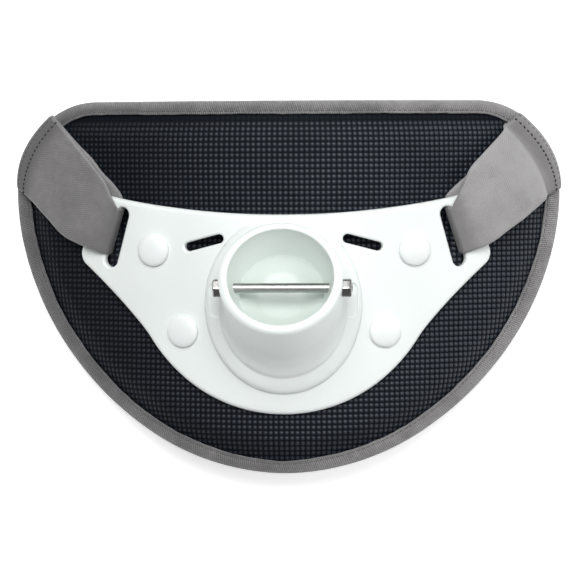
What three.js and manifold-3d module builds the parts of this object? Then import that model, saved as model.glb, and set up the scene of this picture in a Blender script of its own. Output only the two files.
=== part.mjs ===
// Fishing fighting belt: a padded waist panel that carries a moulded gimbal cup for the rod's butt.
// Millimetres. Soft and moulded pieces are laid out flat, with u across the waist, v up and w outward,
// and are then bent round the waist. The finished belt lies on its back on its two side edges.

import * as THREE from 'three';
import { mergeVertices } from 'three/addons/utils/BufferGeometryUtils.js';
import { TessellateModifier } from 'three/addons/modifiers/TessellateModifier.js';
import Module from 'manifold-3d';

const wasm = await Module();
wasm.setup();

const DEGREE = Math.PI / 180;

// Waist curve: an arc in the middle, then straight sides
const WAIST_RADIUS = 205;
const WAIST_HALF_ANGLE = 23.5 * DEGREE;

// Pad outline, measured to the outside of the binding, and pad thickness
const PAD_HALF_WIDTH = 164.5;
const PAD_TOP = 100.7;
const PAD_BOTTOM = -103;
const WIDEST_LINE = 49;
const LOWER_FULLNESS = 1.9;
const PAD_THICKNESS = 14;
const PAD_EDGE_THICKNESS = 6;
const PAD_ROLL = 9;

// Binding tape folded over the pad's edge
const BINDING_WALL = 1.2;
const BINDING_LEG = 7.2;
const BINDING_SIDE_GROWTH = 3.3;
const SEWN_GAP = 0.3;

// Gimbal plate
const PLATE_SEAT_GAP = 0.5;
const PLATE_THICKNESS = 4;
const PLATE_EDGE_ROUND = 1.6;
const PLATE_TOP = 39.2;
const SHOULDER_REACH = 105.5;
const SHOULDER_TOP = 49.5;
const TIP_OUTSET = 10.5;
const TIP_LINE = 17;
const TIP_RADIUS = 8;
const SHOULDER_RADIUS = 5;
const BOWL_CENTRE = 16.7;
const BOWL_RADIUS = 86;
const BOWL_START = -32 * DEGREE;
const SHOULDER_LEAN = 22 * DEGREE;
const FLARE_LEAN = -53 * DEGREE;
const FLARE_LENGTH = 15.5;

// Slots in the plate, given for the right side. The strap's slot keeps its place in the wing.
const STRAP_SLOT_INSET = 12.5;
const STRAP_SLOT_LINE = 26.3;
const STRAP_SLOT_LENGTH = 34;
const STRAP_SLOT_WIDTH = 8;
const STRAP_SLOT_LEAN = 106.5 * DEGREE;
const VENT_SLOT_REACH = 42.6;
const VENT_SLOT_LINE = 23.9;
const VENT_SLOT_LENGTH = 22;
const VENT_SLOT_WIDTH = 4.9;
const VENT_SLOT_LEAN = -15 * DEGREE;
const STRAP_SLOT = {
  u: SHOULDER_REACH - STRAP_SLOT_INSET,
  v: STRAP_SLOT_LINE,
  length: STRAP_SLOT_LENGTH,
  width: STRAP_SLOT_WIDTH,
  lean: STRAP_SLOT_LEAN,
};
const VENT_SLOT = {
  u: VENT_SLOT_REACH,
  v: VENT_SLOT_LINE,
  length: VENT_SLOT_LENGTH,
  width: VENT_SLOT_WIDTH,
  lean: VENT_SLOT_LEAN,
};

// Flange and rod cup
const FLANGE_CENTRE = -9.4;
const FLANGE_RADIUS = 41.8;
const FLANGE_HEIGHT = 3.7;
const FLANGE_ROUND = 1.6;
const CUP_TILT = 30 * DEGREE;
const CUP_FOOT = -8.3;
const CUP_LENGTH = 31;
const CUP_OUTER_RADIUS = 32.3;
const CUP_DRAFT = 2.4 * DEGREE;
const LIP_ROUND = 2.4;
const BORE_RIM_RADIUS = 27.1;
const BORE_FLOOR_RADIUS = 22.5;
const BORE_DEPTH = 19.5;
const SEAT_RADIUS = 12.5;
const SEAT_DROP = 4.5;

// Cross pin through the cup, its hexagons and the recesses that take them
const PIN_DEPTH = 12;
const PIN_DIAMETER = 4.6;
const PIN_CLEARANCE = 0.3;
const HEX_ACROSS_FLATS = 10;
const HEX_THICKNESS = 5.2;
const RECESS_SEAT = 31.8;
const RECESS_WIDTH = 7.6;
const RECESS_SPARE = 2;
const RECESS_CORNER = 3;
const RECESS_DEPTH = 1;
const PIN_PROUD = 0.6;

// Rivets that hold the plate to the pad: the upper ones keep their place in the wing
const RIVET_HEAD_DIAMETER = 17.5;
const RIVET_HEAD_HEIGHT = 3.2;
const RIVET_RIM_HEIGHT = 0.8;
const RIVET_SHANK_DIAMETER = 5;
const RIVET_GRIP = 6.5;
const RIVET_CLEARANCE = 0.3;
const UPPER_RIVET_INSET = 34.7;
const UPPER_RIVET_RISE = 19.7;
const LOWER_RIVET_REACH = 54.3;
const LOWER_RIVET_DROP = 24.3;
const RIVETS = [
  { name: 'upper', u: SHOULDER_REACH - UPPER_RIVET_INSET, v: UPPER_RIVET_RISE },
  { name: 'lower', u: LOWER_RIVET_REACH, v: -LOWER_RIVET_DROP },
];

// Webbing straps from the pad's upper corners to the plate's wings. The end is cut slantwise,
// so it is longer than the webbing is wide.
const STRAP_END_LENGTH = 50;
const WEBBING_THICKNESS = 1.5;
const FOLD_WIDTH = 26;
const STRAP_END_ANGLE = 30 * DEGREE;
const FRONT_HUMP = 6;
const UNDER_HUMP = 4;
const UNDER_HUMP_END = 0.75;

// How far the belt's lower edge drops when it lies on its back
const REST_TILT = 9 * DEGREE;

// Facets
const PAD_TOP_STEPS = 6;
const PAD_CORNER_STEPS = 8;
const PAD_LOWER_STEPS = 16;
const CUP_STEPS = 36;
const PLATE_OUTLINE_STEPS = 36;
const SLOT_STEPS = 12;
const PLATE_FACET = 20;
const PLATE_FACET_PASSES = 20;
const RECESS_STEPS = 24;
const HOLE_STEPS = 12;
const PIN_STEPS = 16;
const RIVET_STEPS = 20;
const RIVET_DOME_STEPS = 4;

const MATERIALS = {
  padCover: { color: 0x1b1d21, roughness: 0.5, metalness: 0 },
  binding: { color: 0x6e6c6c, roughness: 0.85, metalness: 0 },
  webbing: { color: 0x7b7878, roughness: 0.8, metalness: 0 },
  moulding: { color: 0xeff4f3, roughness: 0.3, metalness: 0 },
  steel: { color: 0xb4b2ad, roughness: 0.25, metalness: 1 },
};

const plateLowLevel = PAD_THICKNESS + PLATE_SEAT_GAP;
const wingLift = WEBBING_THICKNESS + PLATE_SEAT_GAP;
const cupAxis = new THREE.Vector3(0, Math.sin(CUP_TILT), Math.cos(CUP_TILT));
const hexRadius = HEX_ACROSS_FLATS / Math.sqrt(3);

// Level of the plate's back face: close to the pad in the middle, lifted at the wings for the webbing
function plateLevel(u) {
  const liftStart = LOWER_RIVET_REACH;
  const liftEnd = STRAP_SLOT.u - STRAP_SLOT.width;
  return plateLowLevel + wingLift * THREE.MathUtils.smoothstep(Math.abs(u), liftStart, liftEnd);
}

// Flat layout to waist curve. Levels are measured from the pad's back face, and the bent pad's
// front face has its middle at z = 0.
function bend(u, v, w) {
  const reach = WAIST_RADIUS * WAIST_HALF_ANGLE;
  const onArc = THREE.MathUtils.clamp(u, -reach, reach);
  const past = u - onArc;
  const angle = onArc / WAIST_RADIUS;
  const radius = WAIST_RADIUS + w - PAD_THICKNESS;
  const x = radius * Math.sin(angle) + past * Math.cos(angle);
  const z = radius * Math.cos(angle) - WAIST_RADIUS - past * Math.sin(angle);
  return new THREE.Vector3(x, v, z);
}

// Merges shared corners and drops triangles that have closed up
function weld(geometry) {
  const bare = new THREE.BufferGeometry();
  bare.setAttribute('position', geometry.getAttribute('position').clone());
  if (geometry.index) bare.setIndex(geometry.index.clone());
  const merged = mergeVertices(bare, 1e-4);
  const corners = merged.index.array;
  const kept = [];
  for (let i = 0; i < corners.length; i += 3) {
    const [a, b, c] = corners.slice(i, i + 3);
    if (a !== b && b !== c && c !== a) kept.push(a, b, c);
  }
  merged.setIndex(kept);
  return merged;
}

function signedVolume(geometry) {
  const points = geometry.getAttribute('position');
  const corners = geometry.index.array;
  const [a, b, c] = [new THREE.Vector3(), new THREE.Vector3(), new THREE.Vector3()];
  let volume = 0;
  for (let i = 0; i < corners.length; i += 3) {
    a.fromBufferAttribute(points, corners[i]);
    b.fromBufferAttribute(points, corners[i + 1]);
    c.fromBufferAttribute(points, corners[i + 2]);
    volume += a.dot(b.cross(c)) / 6;
  }
  return volume;
}

// Turns a closed surface so that its faces point outward
function outward(geometry) {
  if (signedVolume(geometry) < 0) {
    const turned = Array.from(geometry.index.array);
    for (let i = 0; i < turned.length; i += 3) {
      [turned[i], turned[i + 1]] = [turned[i + 1], turned[i]];
    }
    geometry.setIndex(turned);
  }
  return geometry;
}

function solid(geometry) {
  const welded = outward(weld(geometry));
  const vertProperties = new Float32Array(welded.getAttribute('position').array);
  const triVerts = new Uint32Array(welded.index.array);
  return new wasm.Manifold(new wasm.Mesh({ numProp: 3, vertProperties, triVerts }));
}

function surface(manifold) {
  const mesh = manifold.getMesh();
  const geometry = new THREE.BufferGeometry();
  geometry.setAttribute('position', new THREE.BufferAttribute(mesh.vertProperties, 3));
  geometry.setIndex(new THREE.BufferAttribute(mesh.triVerts, 1));
  return geometry;
}

// Closed skin through rings of equal length. A looped skin joins its last ring to its first,
// and any other is closed at both ends by a fan to the ring's middle.
function skin(rings, looped = false) {
  const count = rings[0].length;
  const points = rings.flat();
  const corners = [];
  const bands = looped ? rings.length : rings.length - 1;
  for (let k = 0; k < bands; k += 1) {
    const lower = k * count;
    const upper = ((k + 1) % rings.length) * count;
    for (let i = 0; i < count; i += 1) {
      const next = (i + 1) % count;
      corners.push(lower + i, lower + next, upper + next);
      corners.push(lower + i, upper + next, upper + i);
    }
  }
  if (!looped) {
    for (const [ring, start] of [[rings[0], 0], [rings.at(-1), (rings.length - 1) * count]]) {
      const middle = new THREE.Vector3();
      for (const point of ring) middle.addScaledVector(point, 1 / count);
      points.push(middle);
      for (let i = 0; i < count; i += 1) {
        const edge = [start + i, start + ((i + 1) % count)];
        corners.push(...(start === 0 ? edge.reverse() : edge), points.length - 1);
      }
    }
  }
  const geometry = new THREE.BufferGeometry().setFromPoints(points);
  geometry.setIndex(corners);
  return outward(geometry);
}

// Moves every corner of a flat layout onto the waist curve, at a level that can follow u
function bendGeometry(geometry, levelAt) {
  const points = geometry.getAttribute('position');
  for (let i = 0; i < points.count; i += 1) {
    const u = points.getX(i);
    const bent = bend(u, points.getY(i), points.getZ(i) + levelAt(u));
    points.setXYZ(i, bent.x, bent.y, bent.z);
  }
  return geometry;
}

// Frame that stands on the bent plate's back face at a place in the flat layout, with z outward
function plateFrame(u, v) {
  const step = 0.5;
  const at = (du, dv) => bend(u + du, v + dv, plateLevel(u + du));
  const across = at(step, 0).sub(at(-step, 0)).normalize();
  const up = at(0, step).sub(at(0, -step)).normalize();
  const out = across.clone().cross(up);
  return new THREE.Matrix4().makeBasis(across, up, out).setPosition(at(0, 0));
}

// Pad outline from the top's middle, clockwise
function padOutline() {
  const corner = PAD_TOP - WIDEST_LINE;
  const topEnd = PAD_HALF_WIDTH - corner;
  const right = [];
  for (let i = 0; i < PAD_TOP_STEPS; i += 1) {
    right.push(new THREE.Vector2((topEnd * i) / PAD_TOP_STEPS, PAD_TOP));
  }
  for (let i = 0; i < PAD_CORNER_STEPS; i += 1) {
    const angle = (1 - i / PAD_CORNER_STEPS) * 90 * DEGREE;
    const reach = topEnd + corner * Math.cos(angle);
    right.push(new THREE.Vector2(reach, WIDEST_LINE + corner * Math.sin(angle)));
  }
  const power = 2 / LOWER_FULLNESS;
  for (let i = 0; i <= PAD_LOWER_STEPS; i += 1) {
    const angle = (i / PAD_LOWER_STEPS) * 90 * DEGREE;
    const reach = PAD_HALF_WIDTH * Math.max(Math.cos(angle), 0) ** power;
    const drop = (WIDEST_LINE - PAD_BOTTOM) * Math.sin(angle) ** power;
    right.push(new THREE.Vector2(i === PAD_LOWER_STEPS ? 0 : reach, WIDEST_LINE - drop));
  }
  const left = right.slice(1, -1).reverse().map((point) => new THREE.Vector2(-point.x, point.y));
  return [...right, ...left];
}

const outline = padOutline();
const inwardNormals = outline.map((point, i) => {
  const after = outline[(i + 1) % outline.length];
  const before = outline.at(i - 1);
  const along = after.clone().sub(before).normalize();
  return new THREE.Vector2(along.y, -along.x);
});

// The binding shows wider at the belt's sides than along its top and bottom
const bindingLegs = inwardNormals.map((normal) => (
  BINDING_LEG + BINDING_SIDE_GROWTH * Math.abs(normal.x)
));

function insetRing(insetAt, level) {
  return outline.map((point, i) => {
    const moved = point.clone().addScaledVector(inwardNormals[i], insetAt(i));
    return new THREE.Vector3(moved.x, moved.y, level);
  });
}

const bindingHalfInside = PAD_EDGE_THICKNESS / 2 + SEWN_GAP;
const bindingHalfOutside = bindingHalfInside + BINDING_WALL;

// Half section of the pad. Across goes from 0 at the pad's own edge through 1 at the binding's
// inner edge to 2 at the end of the roll, and height from 0 at mid thickness through 1 at the
// gripped edge to 2 at full thickness.
const PAD_SECTION = [
  { across: 0.12, height: 0.8 },
  { across: 0.4, height: 1 },
  { across: 1.06, height: 1 },
  { across: 1.22, height: 1.5 },
  { across: 1.55, height: 1.86 },
  { across: 2, height: 2 },
];
const PAD_FACE_SHARES = [0.82, 0.62, 0.42, 0.2];

function padRing(across, height, side) {
  const edge = BINDING_WALL + SEWN_GAP;
  const halfEdge = PAD_EDGE_THICKNESS / 2;
  const halfFull = PAD_THICKNESS / 2;
  const insetAt = (i) => (
    edge + Math.min(across, 1) * (bindingLegs[i] - edge) + Math.max(across - 1, 0) * PAD_ROLL
  );
  const rise = Math.min(height, 1) * halfEdge + Math.max(height - 1, 0) * (halfFull - halfEdge);
  return insetRing(insetAt, halfFull + side * rise);
}

function padHalf(side) {
  const rings = PAD_SECTION.map((row) => padRing(row.across, row.height, side));
  const middle = new THREE.Vector3(0, (PAD_TOP + PAD_BOTTOM) / 2, rings.at(-1)[0].z);
  const faceEdge = rings.at(-1);
  for (const share of PAD_FACE_SHARES) {
    rings.push(faceEdge.map((point) => middle.clone().lerp(point, share)));
  }
  return rings;
}

function bentRings(rings) {
  return rings.map((ring) => ring.map((point) => bend(point.x, point.y, point.z)));
}

function rivetPlaces() {
  return RIVETS.flatMap((rivet) => [
    { name: `rivet_${rivet.name}_left`, u: -rivet.u, v: rivet.v },
    { name: `rivet_${rivet.name}_right`, u: rivet.u, v: rivet.v },
  ]);
}

// Round bar along z between two heights
function bar(radius, low, high, sides) {
  const geometry = new THREE.CylinderGeometry(radius, radius, high - low, sides);
  geometry.rotateX(90 * DEGREE);
  geometry.translate(0, 0, (low + high) / 2);
  return geometry;
}

function padSolid() {
  const rings = [...padHalf(-1).reverse(), padRing(0, 0, 1), ...padHalf(1)];
  let pad = solid(skin(bentRings(rings)));
  const holeRadius = RIVET_SHANK_DIAMETER / 2 + RIVET_CLEARANCE;
  for (const place of rivetPlaces()) {
    const hole = bar(holeRadius, -RIVET_GRIP - RIVET_CLEARANCE, PLATE_THICKNESS, HOLE_STEPS);
    pad = pad.subtract(solid(hole.applyMatrix4(plateFrame(place.u, place.v))));
  }
  return surface(pad);
}

// The binding's section is a C: out along the front leg, round the edge and back inside
function bindingSolid() {
  const middle = PAD_THICKNESS / 2;
  const round = BINDING_WALL;
  const rows = [
    { leg: 1, edge: 0, level: bindingHalfOutside },
    { leg: 0, edge: 1.5 * round, level: bindingHalfOutside },
    { leg: 0, edge: 0.4 * round, level: bindingHalfOutside - 0.8 * round },
    { leg: 0, edge: 0, level: 0 },
    { leg: 0, edge: 0.4 * round, level: -bindingHalfOutside + 0.8 * round },
    { leg: 0, edge: 1.5 * round, level: -bindingHalfOutside },
    { leg: 1, edge: 0, level: -bindingHalfOutside },
    { leg: 1, edge: 0, level: -bindingHalfInside },
    { leg: 0, edge: 2 * round, level: -bindingHalfInside },
    { leg: 0, edge: round, level: -bindingHalfInside + 0.8 * round },
    { leg: 0, edge: round, level: bindingHalfInside - 0.8 * round },
    { leg: 0, edge: 2 * round, level: bindingHalfInside },
    { leg: 1, edge: 0, level: bindingHalfInside },
  ];
  const rings = rows.map((row) => (
    insetRing((i) => row.leg * bindingLegs[i] + row.edge, middle + row.level)
  ));
  return skin(bentRings(rings), true);
}

function slotPath(slot, side) {
  const path = new THREE.Path();
  const straight = (slot.length - slot.width) / 2;
  const lean = side > 0 ? slot.lean : 180 * DEGREE - slot.lean;
  const ahead = new THREE.Vector2(Math.cos(lean), Math.sin(lean)).multiplyScalar(straight);
  const centre = new THREE.Vector2(side * slot.u, slot.v);
  const radius = slot.width / 2;
  const [head, tail] = [centre.clone().add(ahead), centre.clone().sub(ahead)];
  path.absarc(head.x, head.y, radius, lean - 90 * DEGREE, lean + 90 * DEGREE, false);
  path.absarc(tail.x, tail.y, radius, lean + 90 * DEGREE, lean + 270 * DEGREE, false);
  path.closePath();
  return new THREE.Path(path.getSpacedPoints(SLOT_STEPS));
}

// Right half of the plate's outline, from the top's middle to the bowl's lowest point
function plateHalfOutline() {
  const path = new THREE.Path();
  const shoulder = new THREE.Vector2(SHOULDER_REACH - SHOULDER_RADIUS, SHOULDER_TOP - SHOULDER_RADIUS);
  const tip = new THREE.Vector2(SHOULDER_REACH + TIP_OUTSET - TIP_RADIUS, TIP_LINE);
  const bowlJoin = new THREE.Vector2(Math.cos(BOWL_START), Math.sin(BOWL_START))
    .multiplyScalar(BOWL_RADIUS)
    .add(new THREE.Vector2(0, BOWL_CENTRE));
  const bowlTangent = new THREE.Vector2(-Math.sin(BOWL_START), Math.cos(BOWL_START));
  const flareEnd = bowlJoin.clone().addScaledVector(bowlTangent, FLARE_LENGTH);
  path.moveTo(0, PLATE_TOP);
  path.quadraticCurveTo(shoulder.x / 2, PLATE_TOP, shoulder.x, SHOULDER_TOP);
  path.absarc(shoulder.x, shoulder.y, SHOULDER_RADIUS, 90 * DEGREE, SHOULDER_LEAN, true);
  path.absarc(tip.x, tip.y, TIP_RADIUS, SHOULDER_LEAN, FLARE_LEAN, true);
  path.quadraticCurveTo(flareEnd.x, flareEnd.y, bowlJoin.x, bowlJoin.y);
  path.absarc(0, BOWL_CENTRE, BOWL_RADIUS, BOWL_START, -90 * DEGREE, true);
  return path.getSpacedPoints(PLATE_OUTLINE_STEPS);
}

function flatPlate() {
  const right = plateHalfOutline();
  const left = right.slice(1, -1).reverse().map((point) => new THREE.Vector2(-point.x, point.y));
  const shape = new THREE.Shape([...right, ...left]);
  for (const side of [-1, 1]) {
    shape.holes.push(slotPath(STRAP_SLOT, side), slotPath(VENT_SLOT, side));
  }
  return new THREE.ExtrudeGeometry(shape, {
    depth: PLATE_THICKNESS - 2 * PLATE_EDGE_ROUND,
    bevelThickness: PLATE_EDGE_ROUND,
    bevelSize: PLATE_EDGE_ROUND,
    bevelOffset: -PLATE_EDGE_ROUND,
    bevelSegments: 2,
  }).translate(0, 0, PLATE_EDGE_ROUND);
}

// The flange is round about the cup's axis, so it is an ellipse on the plate
function flatFlange() {
  const shape = new THREE.Shape();
  const height = FLANGE_RADIUS / Math.cos(CUP_TILT);
  shape.absellipse(0, FLANGE_CENTRE, FLANGE_RADIUS, height, 0, 2 * Math.PI, false);
  const root = PLATE_THICKNESS / 2;
  return new THREE.ExtrudeGeometry(new THREE.Shape(shape.getSpacedPoints(CUP_STEPS).slice(0, -1)), {
    depth: root + FLANGE_HEIGHT - 2 * FLANGE_ROUND,
    bevelThickness: FLANGE_ROUND,
    bevelSize: FLANGE_ROUND,
    bevelOffset: -FLANGE_ROUND,
    bevelSegments: 2,
  }).translate(0, 0, root + FLANGE_ROUND);
}

function facetAndBend(geometry) {
  const facetted = new TessellateModifier(PLATE_FACET, PLATE_FACET_PASSES).modify(geometry);
  return bendGeometry(facetted, plateLevel);
}

// Follows a straight line down to a level of the waist curve
function dropToLevel(point, direction, level) {
  const radius = WAIST_RADIUS + level - PAD_THICKNESS;
  const height = point.z + WAIST_RADIUS;
  const a = direction.x ** 2 + direction.z ** 2;
  const b = 2 * (point.x * direction.x + height * direction.z);
  const c = point.x ** 2 + height ** 2 - radius ** 2;
  const travel = (-b - Math.sqrt(b * b - 4 * a * c)) / (2 * a);
  return point.clone().addScaledVector(direction, travel);
}

// Frame of the cup: origin at the middle of the rim, z along the axis out of the mouth
const flangeTop = PLATE_SEAT_GAP + PLATE_THICKNESS + FLANGE_HEIGHT;
const rimCentre = new THREE.Vector3(0, CUP_FOOT, flangeTop).addScaledVector(cupAxis, CUP_LENGTH);
const cupFrame = new THREE.Matrix4().makeRotationX(-CUP_TILT).setPosition(rimCentre);

function cupRing(radius, depth) {
  const ring = [];
  for (let i = 0; i < CUP_STEPS; i += 1) {
    const angle = (i / CUP_STEPS) * 2 * Math.PI;
    const point = new THREE.Vector3(radius * Math.cos(angle), radius * Math.sin(angle), -depth);
    ring.push(point.applyMatrix4(cupFrame));
  }
  return ring;
}

// Outside of the cup, from its root in the plate up to the rounded lip
function cupBody() {
  const lipRing = cupRing(CUP_OUTER_RADIUS, LIP_ROUND);
  const wideRing = cupRing(CUP_OUTER_RADIUS + Math.tan(CUP_DRAFT), LIP_ROUND + 1);
  const root = plateLowLevel + PLATE_THICKNESS / 2;
  const rootRing = lipRing.map((point, i) => {
    const direction = wideRing[i].clone().sub(point).normalize();
    return dropToLevel(point, direction, root);
  });
  return skin([
    rootRing,
    lipRing,
    cupRing(CUP_OUTER_RADIUS - 0.3 * LIP_ROUND, 0.3 * LIP_ROUND),
    cupRing(CUP_OUTER_RADIUS - LIP_ROUND, 0),
  ]);
}

// Inside of the cup: rounded mouth, tapered wall, dished floor and the flat seat for the butt
function cupBore() {
  const profile = [
    [0, LIP_ROUND],
    [BORE_RIM_RADIUS + 0.6 * LIP_ROUND, LIP_ROUND],
    [BORE_RIM_RADIUS + 0.6 * LIP_ROUND, 0],
    [BORE_RIM_RADIUS + 0.15 * LIP_ROUND, -0.35 * LIP_ROUND],
    [BORE_RIM_RADIUS, -LIP_ROUND],
    [BORE_FLOOR_RADIUS, -BORE_DEPTH],
    [SEAT_RADIUS, -BORE_DEPTH - SEAT_DROP],
    [0, -BORE_DEPTH - SEAT_DROP],
  ].map(([radius, height]) => new THREE.Vector2(radius, height));
  const geometry = new THREE.LatheGeometry(profile, CUP_STEPS);
  return geometry.rotateX(90 * DEGREE).applyMatrix4(cupFrame);
}

// U-shaped recess beside the cup, cut along its axis down into the flange
function recessTool(side) {
  const half = HEX_ACROSS_FLATS / 2 + RECESS_SPARE;
  const shape = new THREE.Shape();
  const outer = RECESS_SEAT + RECESS_WIDTH;
  const cornerLine = -half + RECESS_CORNER;
  shape.moveTo(RECESS_SEAT, half);
  shape.lineTo(outer, half);
  shape.absarc(outer - RECESS_CORNER, cornerLine, RECESS_CORNER, 0, -90 * DEGREE, true);
  shape.absarc(RECESS_SEAT + RECESS_CORNER, cornerLine, RECESS_CORNER, -90 * DEGREE, -180 * DEGREE, true);
  shape.closePath();
  const top = PIN_DEPTH - half;
  const floor = plateLowLevel + PLATE_THICKNESS + FLANGE_HEIGHT - RECESS_DEPTH;
  const mouth = shape.getSpacedPoints(RECESS_STEPS).slice(0, -1).map((point) => (
    new THREE.Vector3(side * point.x, point.y, -top).applyMatrix4(cupFrame)
  ));
  const base = mouth.map((point) => dropToLevel(point, cupAxis.clone().negate(), floor));
  return skin([base, mouth]);
}

// Round or six-sided bar across the cup on the pin's line
function acrossCup(radius, from, to, sides) {
  const geometry = new THREE.CylinderGeometry(radius, radius, to - from, sides);
  geometry.rotateZ(-90 * DEGREE);
  geometry.translate((from + to) / 2, 0, -PIN_DEPTH);
  return solid(geometry.applyMatrix4(cupFrame));
}

function gimbalSolid() {
  let gimbal = solid(facetAndBend(flatPlate()))
    .add(solid(facetAndBend(flatFlange())))
    .add(solid(cupBody()))
    .subtract(solid(cupBore()));
  for (const side of [-1, 1]) gimbal = gimbal.subtract(solid(recessTool(side)));
  const pinHole = PIN_DIAMETER / 2 + PIN_CLEARANCE;
  gimbal = gimbal.subtract(acrossCup(pinHole, -2 * CUP_OUTER_RADIUS, 2 * CUP_OUTER_RADIUS, PIN_STEPS));
  const rivetHole = RIVET_SHANK_DIAMETER / 2 + RIVET_CLEARANCE;
  for (const place of rivetPlaces()) {
    const hole = bar(rivetHole, -PLATE_THICKNESS, 2 * PLATE_THICKNESS, HOLE_STEPS);
    gimbal = gimbal.subtract(solid(hole.applyMatrix4(plateFrame(place.u, place.v))));
  }
  return surface(gimbal);
}

const hexInner = RECESS_SEAT + PIN_CLEARANCE;
const hexOuter = hexInner + HEX_THICKNESS;

function pinSolid() {
  const start = -hexInner - HEX_THICKNESS / 2;
  const shank = acrossCup(PIN_DIAMETER / 2, start, hexOuter + PIN_PROUD, PIN_STEPS);
  return surface(shank.add(acrossCup(hexRadius, -hexOuter, -hexInner, 6)));
}

function nutSolid() {
  const bore = acrossCup(PIN_DIAMETER / 2 + PIN_CLEARANCE, hexInner - 1, hexOuter + 1, PIN_STEPS);
  return surface(acrossCup(hexRadius, hexInner, hexOuter, 6).subtract(bore));
}

// Domed head over a plain shank, with heights measured from the plate's back face
function rivetGeometry() {
  const head = RIVET_HEAD_DIAMETER / 2;
  const shank = RIVET_SHANK_DIAMETER / 2;
  const seat = PLATE_THICKNESS + RIVET_CLEARANCE;
  const profile = [[0, -RIVET_GRIP], [shank, -RIVET_GRIP], [shank, seat], [head, seat]];
  for (let i = 0; i <= RIVET_DOME_STEPS; i += 1) {
    const angle = (i / RIVET_DOME_STEPS) * 90 * DEGREE;
    const rise = seat + THREE.MathUtils.lerp(RIVET_RIM_HEIGHT, RIVET_HEAD_HEIGHT, Math.sin(angle));
    profile.push([i === RIVET_DOME_STEPS ? 0 : head * Math.cos(angle), rise]);
  }
  const points = profile.map(([radius, height]) => new THREE.Vector2(radius, height));
  return outward(weld(new THREE.LatheGeometry(points, RIVET_STEPS).rotateX(90 * DEGREE)));
}

const bindingFront = PAD_THICKNESS / 2 + bindingHalfOutside;
const slotSide = new THREE.Vector2(Math.sin(STRAP_SLOT.lean), -Math.cos(STRAP_SLOT.lean));
const slotUp = new THREE.Vector2(Math.cos(STRAP_SLOT.lean), Math.sin(STRAP_SLOT.lean));
const foldCentre = new THREE.Vector2(STRAP_SLOT.u, STRAP_SLOT.v)
  .addScaledVector(slotSide, STRAP_SLOT.width / 2);

// Place on a strap in the flat layout: share runs from the pad's edge to the slot, and across
// from -1 at the lower edge to 1 at the upper one
function strapPlace(share, across) {
  const hairpin = (WEBBING_THICKNESS + SEWN_GAP) / 2;
  const endInset = hairpin + WEBBING_THICKNESS / 2;
  const corner = PAD_TOP - WIDEST_LINE;
  const radius = corner - endInset;
  const halfAngle = STRAP_END_LENGTH / 2 / radius;
  const centre = new THREE.Vector2(PAD_HALF_WIDTH - corner, WIDEST_LINE);
  const edgeAt = (t) => {
    const angle = STRAP_END_ANGLE + t * halfAngle;
    return new THREE.Vector2(Math.cos(angle), Math.sin(angle)).multiplyScalar(radius).add(centre);
  };
  const halfChord = edgeAt(1).sub(edgeAt(-1)).multiplyScalar(0.5);
  const halfFold = slotUp.clone().multiplyScalar(FOLD_WIDTH / 2);
  const narrowing = THREE.MathUtils.smoothstep(share, 0.35, 1.05);
  const bow = edgeAt(across).sub(edgeAt(0)).addScaledVector(halfChord, -across);
  return edgeAt(0).lerp(foldCentre, share)
    .addScaledVector(halfChord.clone().lerp(halfFold, narrowing), across)
    .addScaledVector(bow, (1 - share) ** 2);
}

const halfWebbing = WEBBING_THICKNESS / 2;
const underEnd = bindingFront + SEWN_GAP + halfWebbing;
const frontEnd = underEnd + WEBBING_THICKNESS + SEWN_GAP;
const underFold = PAD_THICKNESS + PLATE_SEAT_GAP + halfWebbing;
const frontFold = plateLowLevel + wingLift + PLATE_THICKNESS + PLATE_SEAT_GAP + halfWebbing;

function frontLevel(share) {
  return THREE.MathUtils.lerp(frontEnd, frontFold, share) + FRONT_HUMP * Math.sin(Math.PI * share);
}

function underLevel(share) {
  const hump = UNDER_HUMP * Math.sin(Math.PI * Math.min(share / UNDER_HUMP_END, 1));
  return THREE.MathUtils.lerp(underEnd, underFold, Math.min(share / UNDER_HUMP_END, 1)) + hump;
}

// Stations round the strap's loop: front layer, fold in the slot, under layer, sewn end
function strapStations() {
  const stations = [];
  for (const share of [0, 0.12, 0.25, 0.4, 0.55, 0.7, 0.82, 0.92, 1]) {
    stations.push((across) => ({ place: strapPlace(share, across), level: frontLevel(share) }));
  }
  const reach = PLATE_SEAT_GAP + halfWebbing;
  for (const angle of [30 * DEGREE, 90 * DEGREE, 150 * DEGREE]) {
    stations.push((across) => ({
      place: strapPlace(1, across).addScaledVector(slotSide, -reach * Math.sin(angle)),
      level: (frontFold + underFold) / 2 + ((frontFold - underFold) / 2) * Math.cos(angle),
    }));
  }
  for (const share of [1, 0.9, 0.78, 0.65, 0.5, 0.35, 0.22, 0.1, 0]) {
    stations.push((across) => ({ place: strapPlace(share, across), level: underLevel(share) }));
  }
  stations.push((across) => {
    const end = strapPlace(0, across);
    const outwards = end.clone().sub(strapPlace(0.05, across)).normalize();
    const hairpin = (WEBBING_THICKNESS + SEWN_GAP) / 2;
    return { place: end.addScaledVector(outwards, hairpin), level: (frontEnd + underEnd) / 2 };
  });
  return stations;
}

function strapSolid(side) {
  const acrossSteps = [-1, -0.5, 0, 0.5, 1];
  const stations = strapStations();
  const centres = stations.map((station) => acrossSteps.map((across) => {
    const { place, level } = station(across);
    return bend(side * place.x, place.y, level);
  }));
  const rings = centres.map((row, k) => {
    const before = centres.at(k - 1);
    const after = centres[(k + 1) % centres.length];
    const faces = row.map((point, j) => {
      const along = after[j].clone().sub(before[j]);
      const across = row[Math.min(j + 1, row.length - 1)].clone().sub(row[Math.max(j - 1, 0)]);
      return along.cross(across).normalize().multiplyScalar(halfWebbing);
    });
    const top = row.map((point, j) => point.clone().add(faces[j]));
    const bottom = row.map((point, j) => point.clone().sub(faces[j]));
    return [...top, ...bottom.reverse()];
  });
  return skin(rings, true);
}

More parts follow.
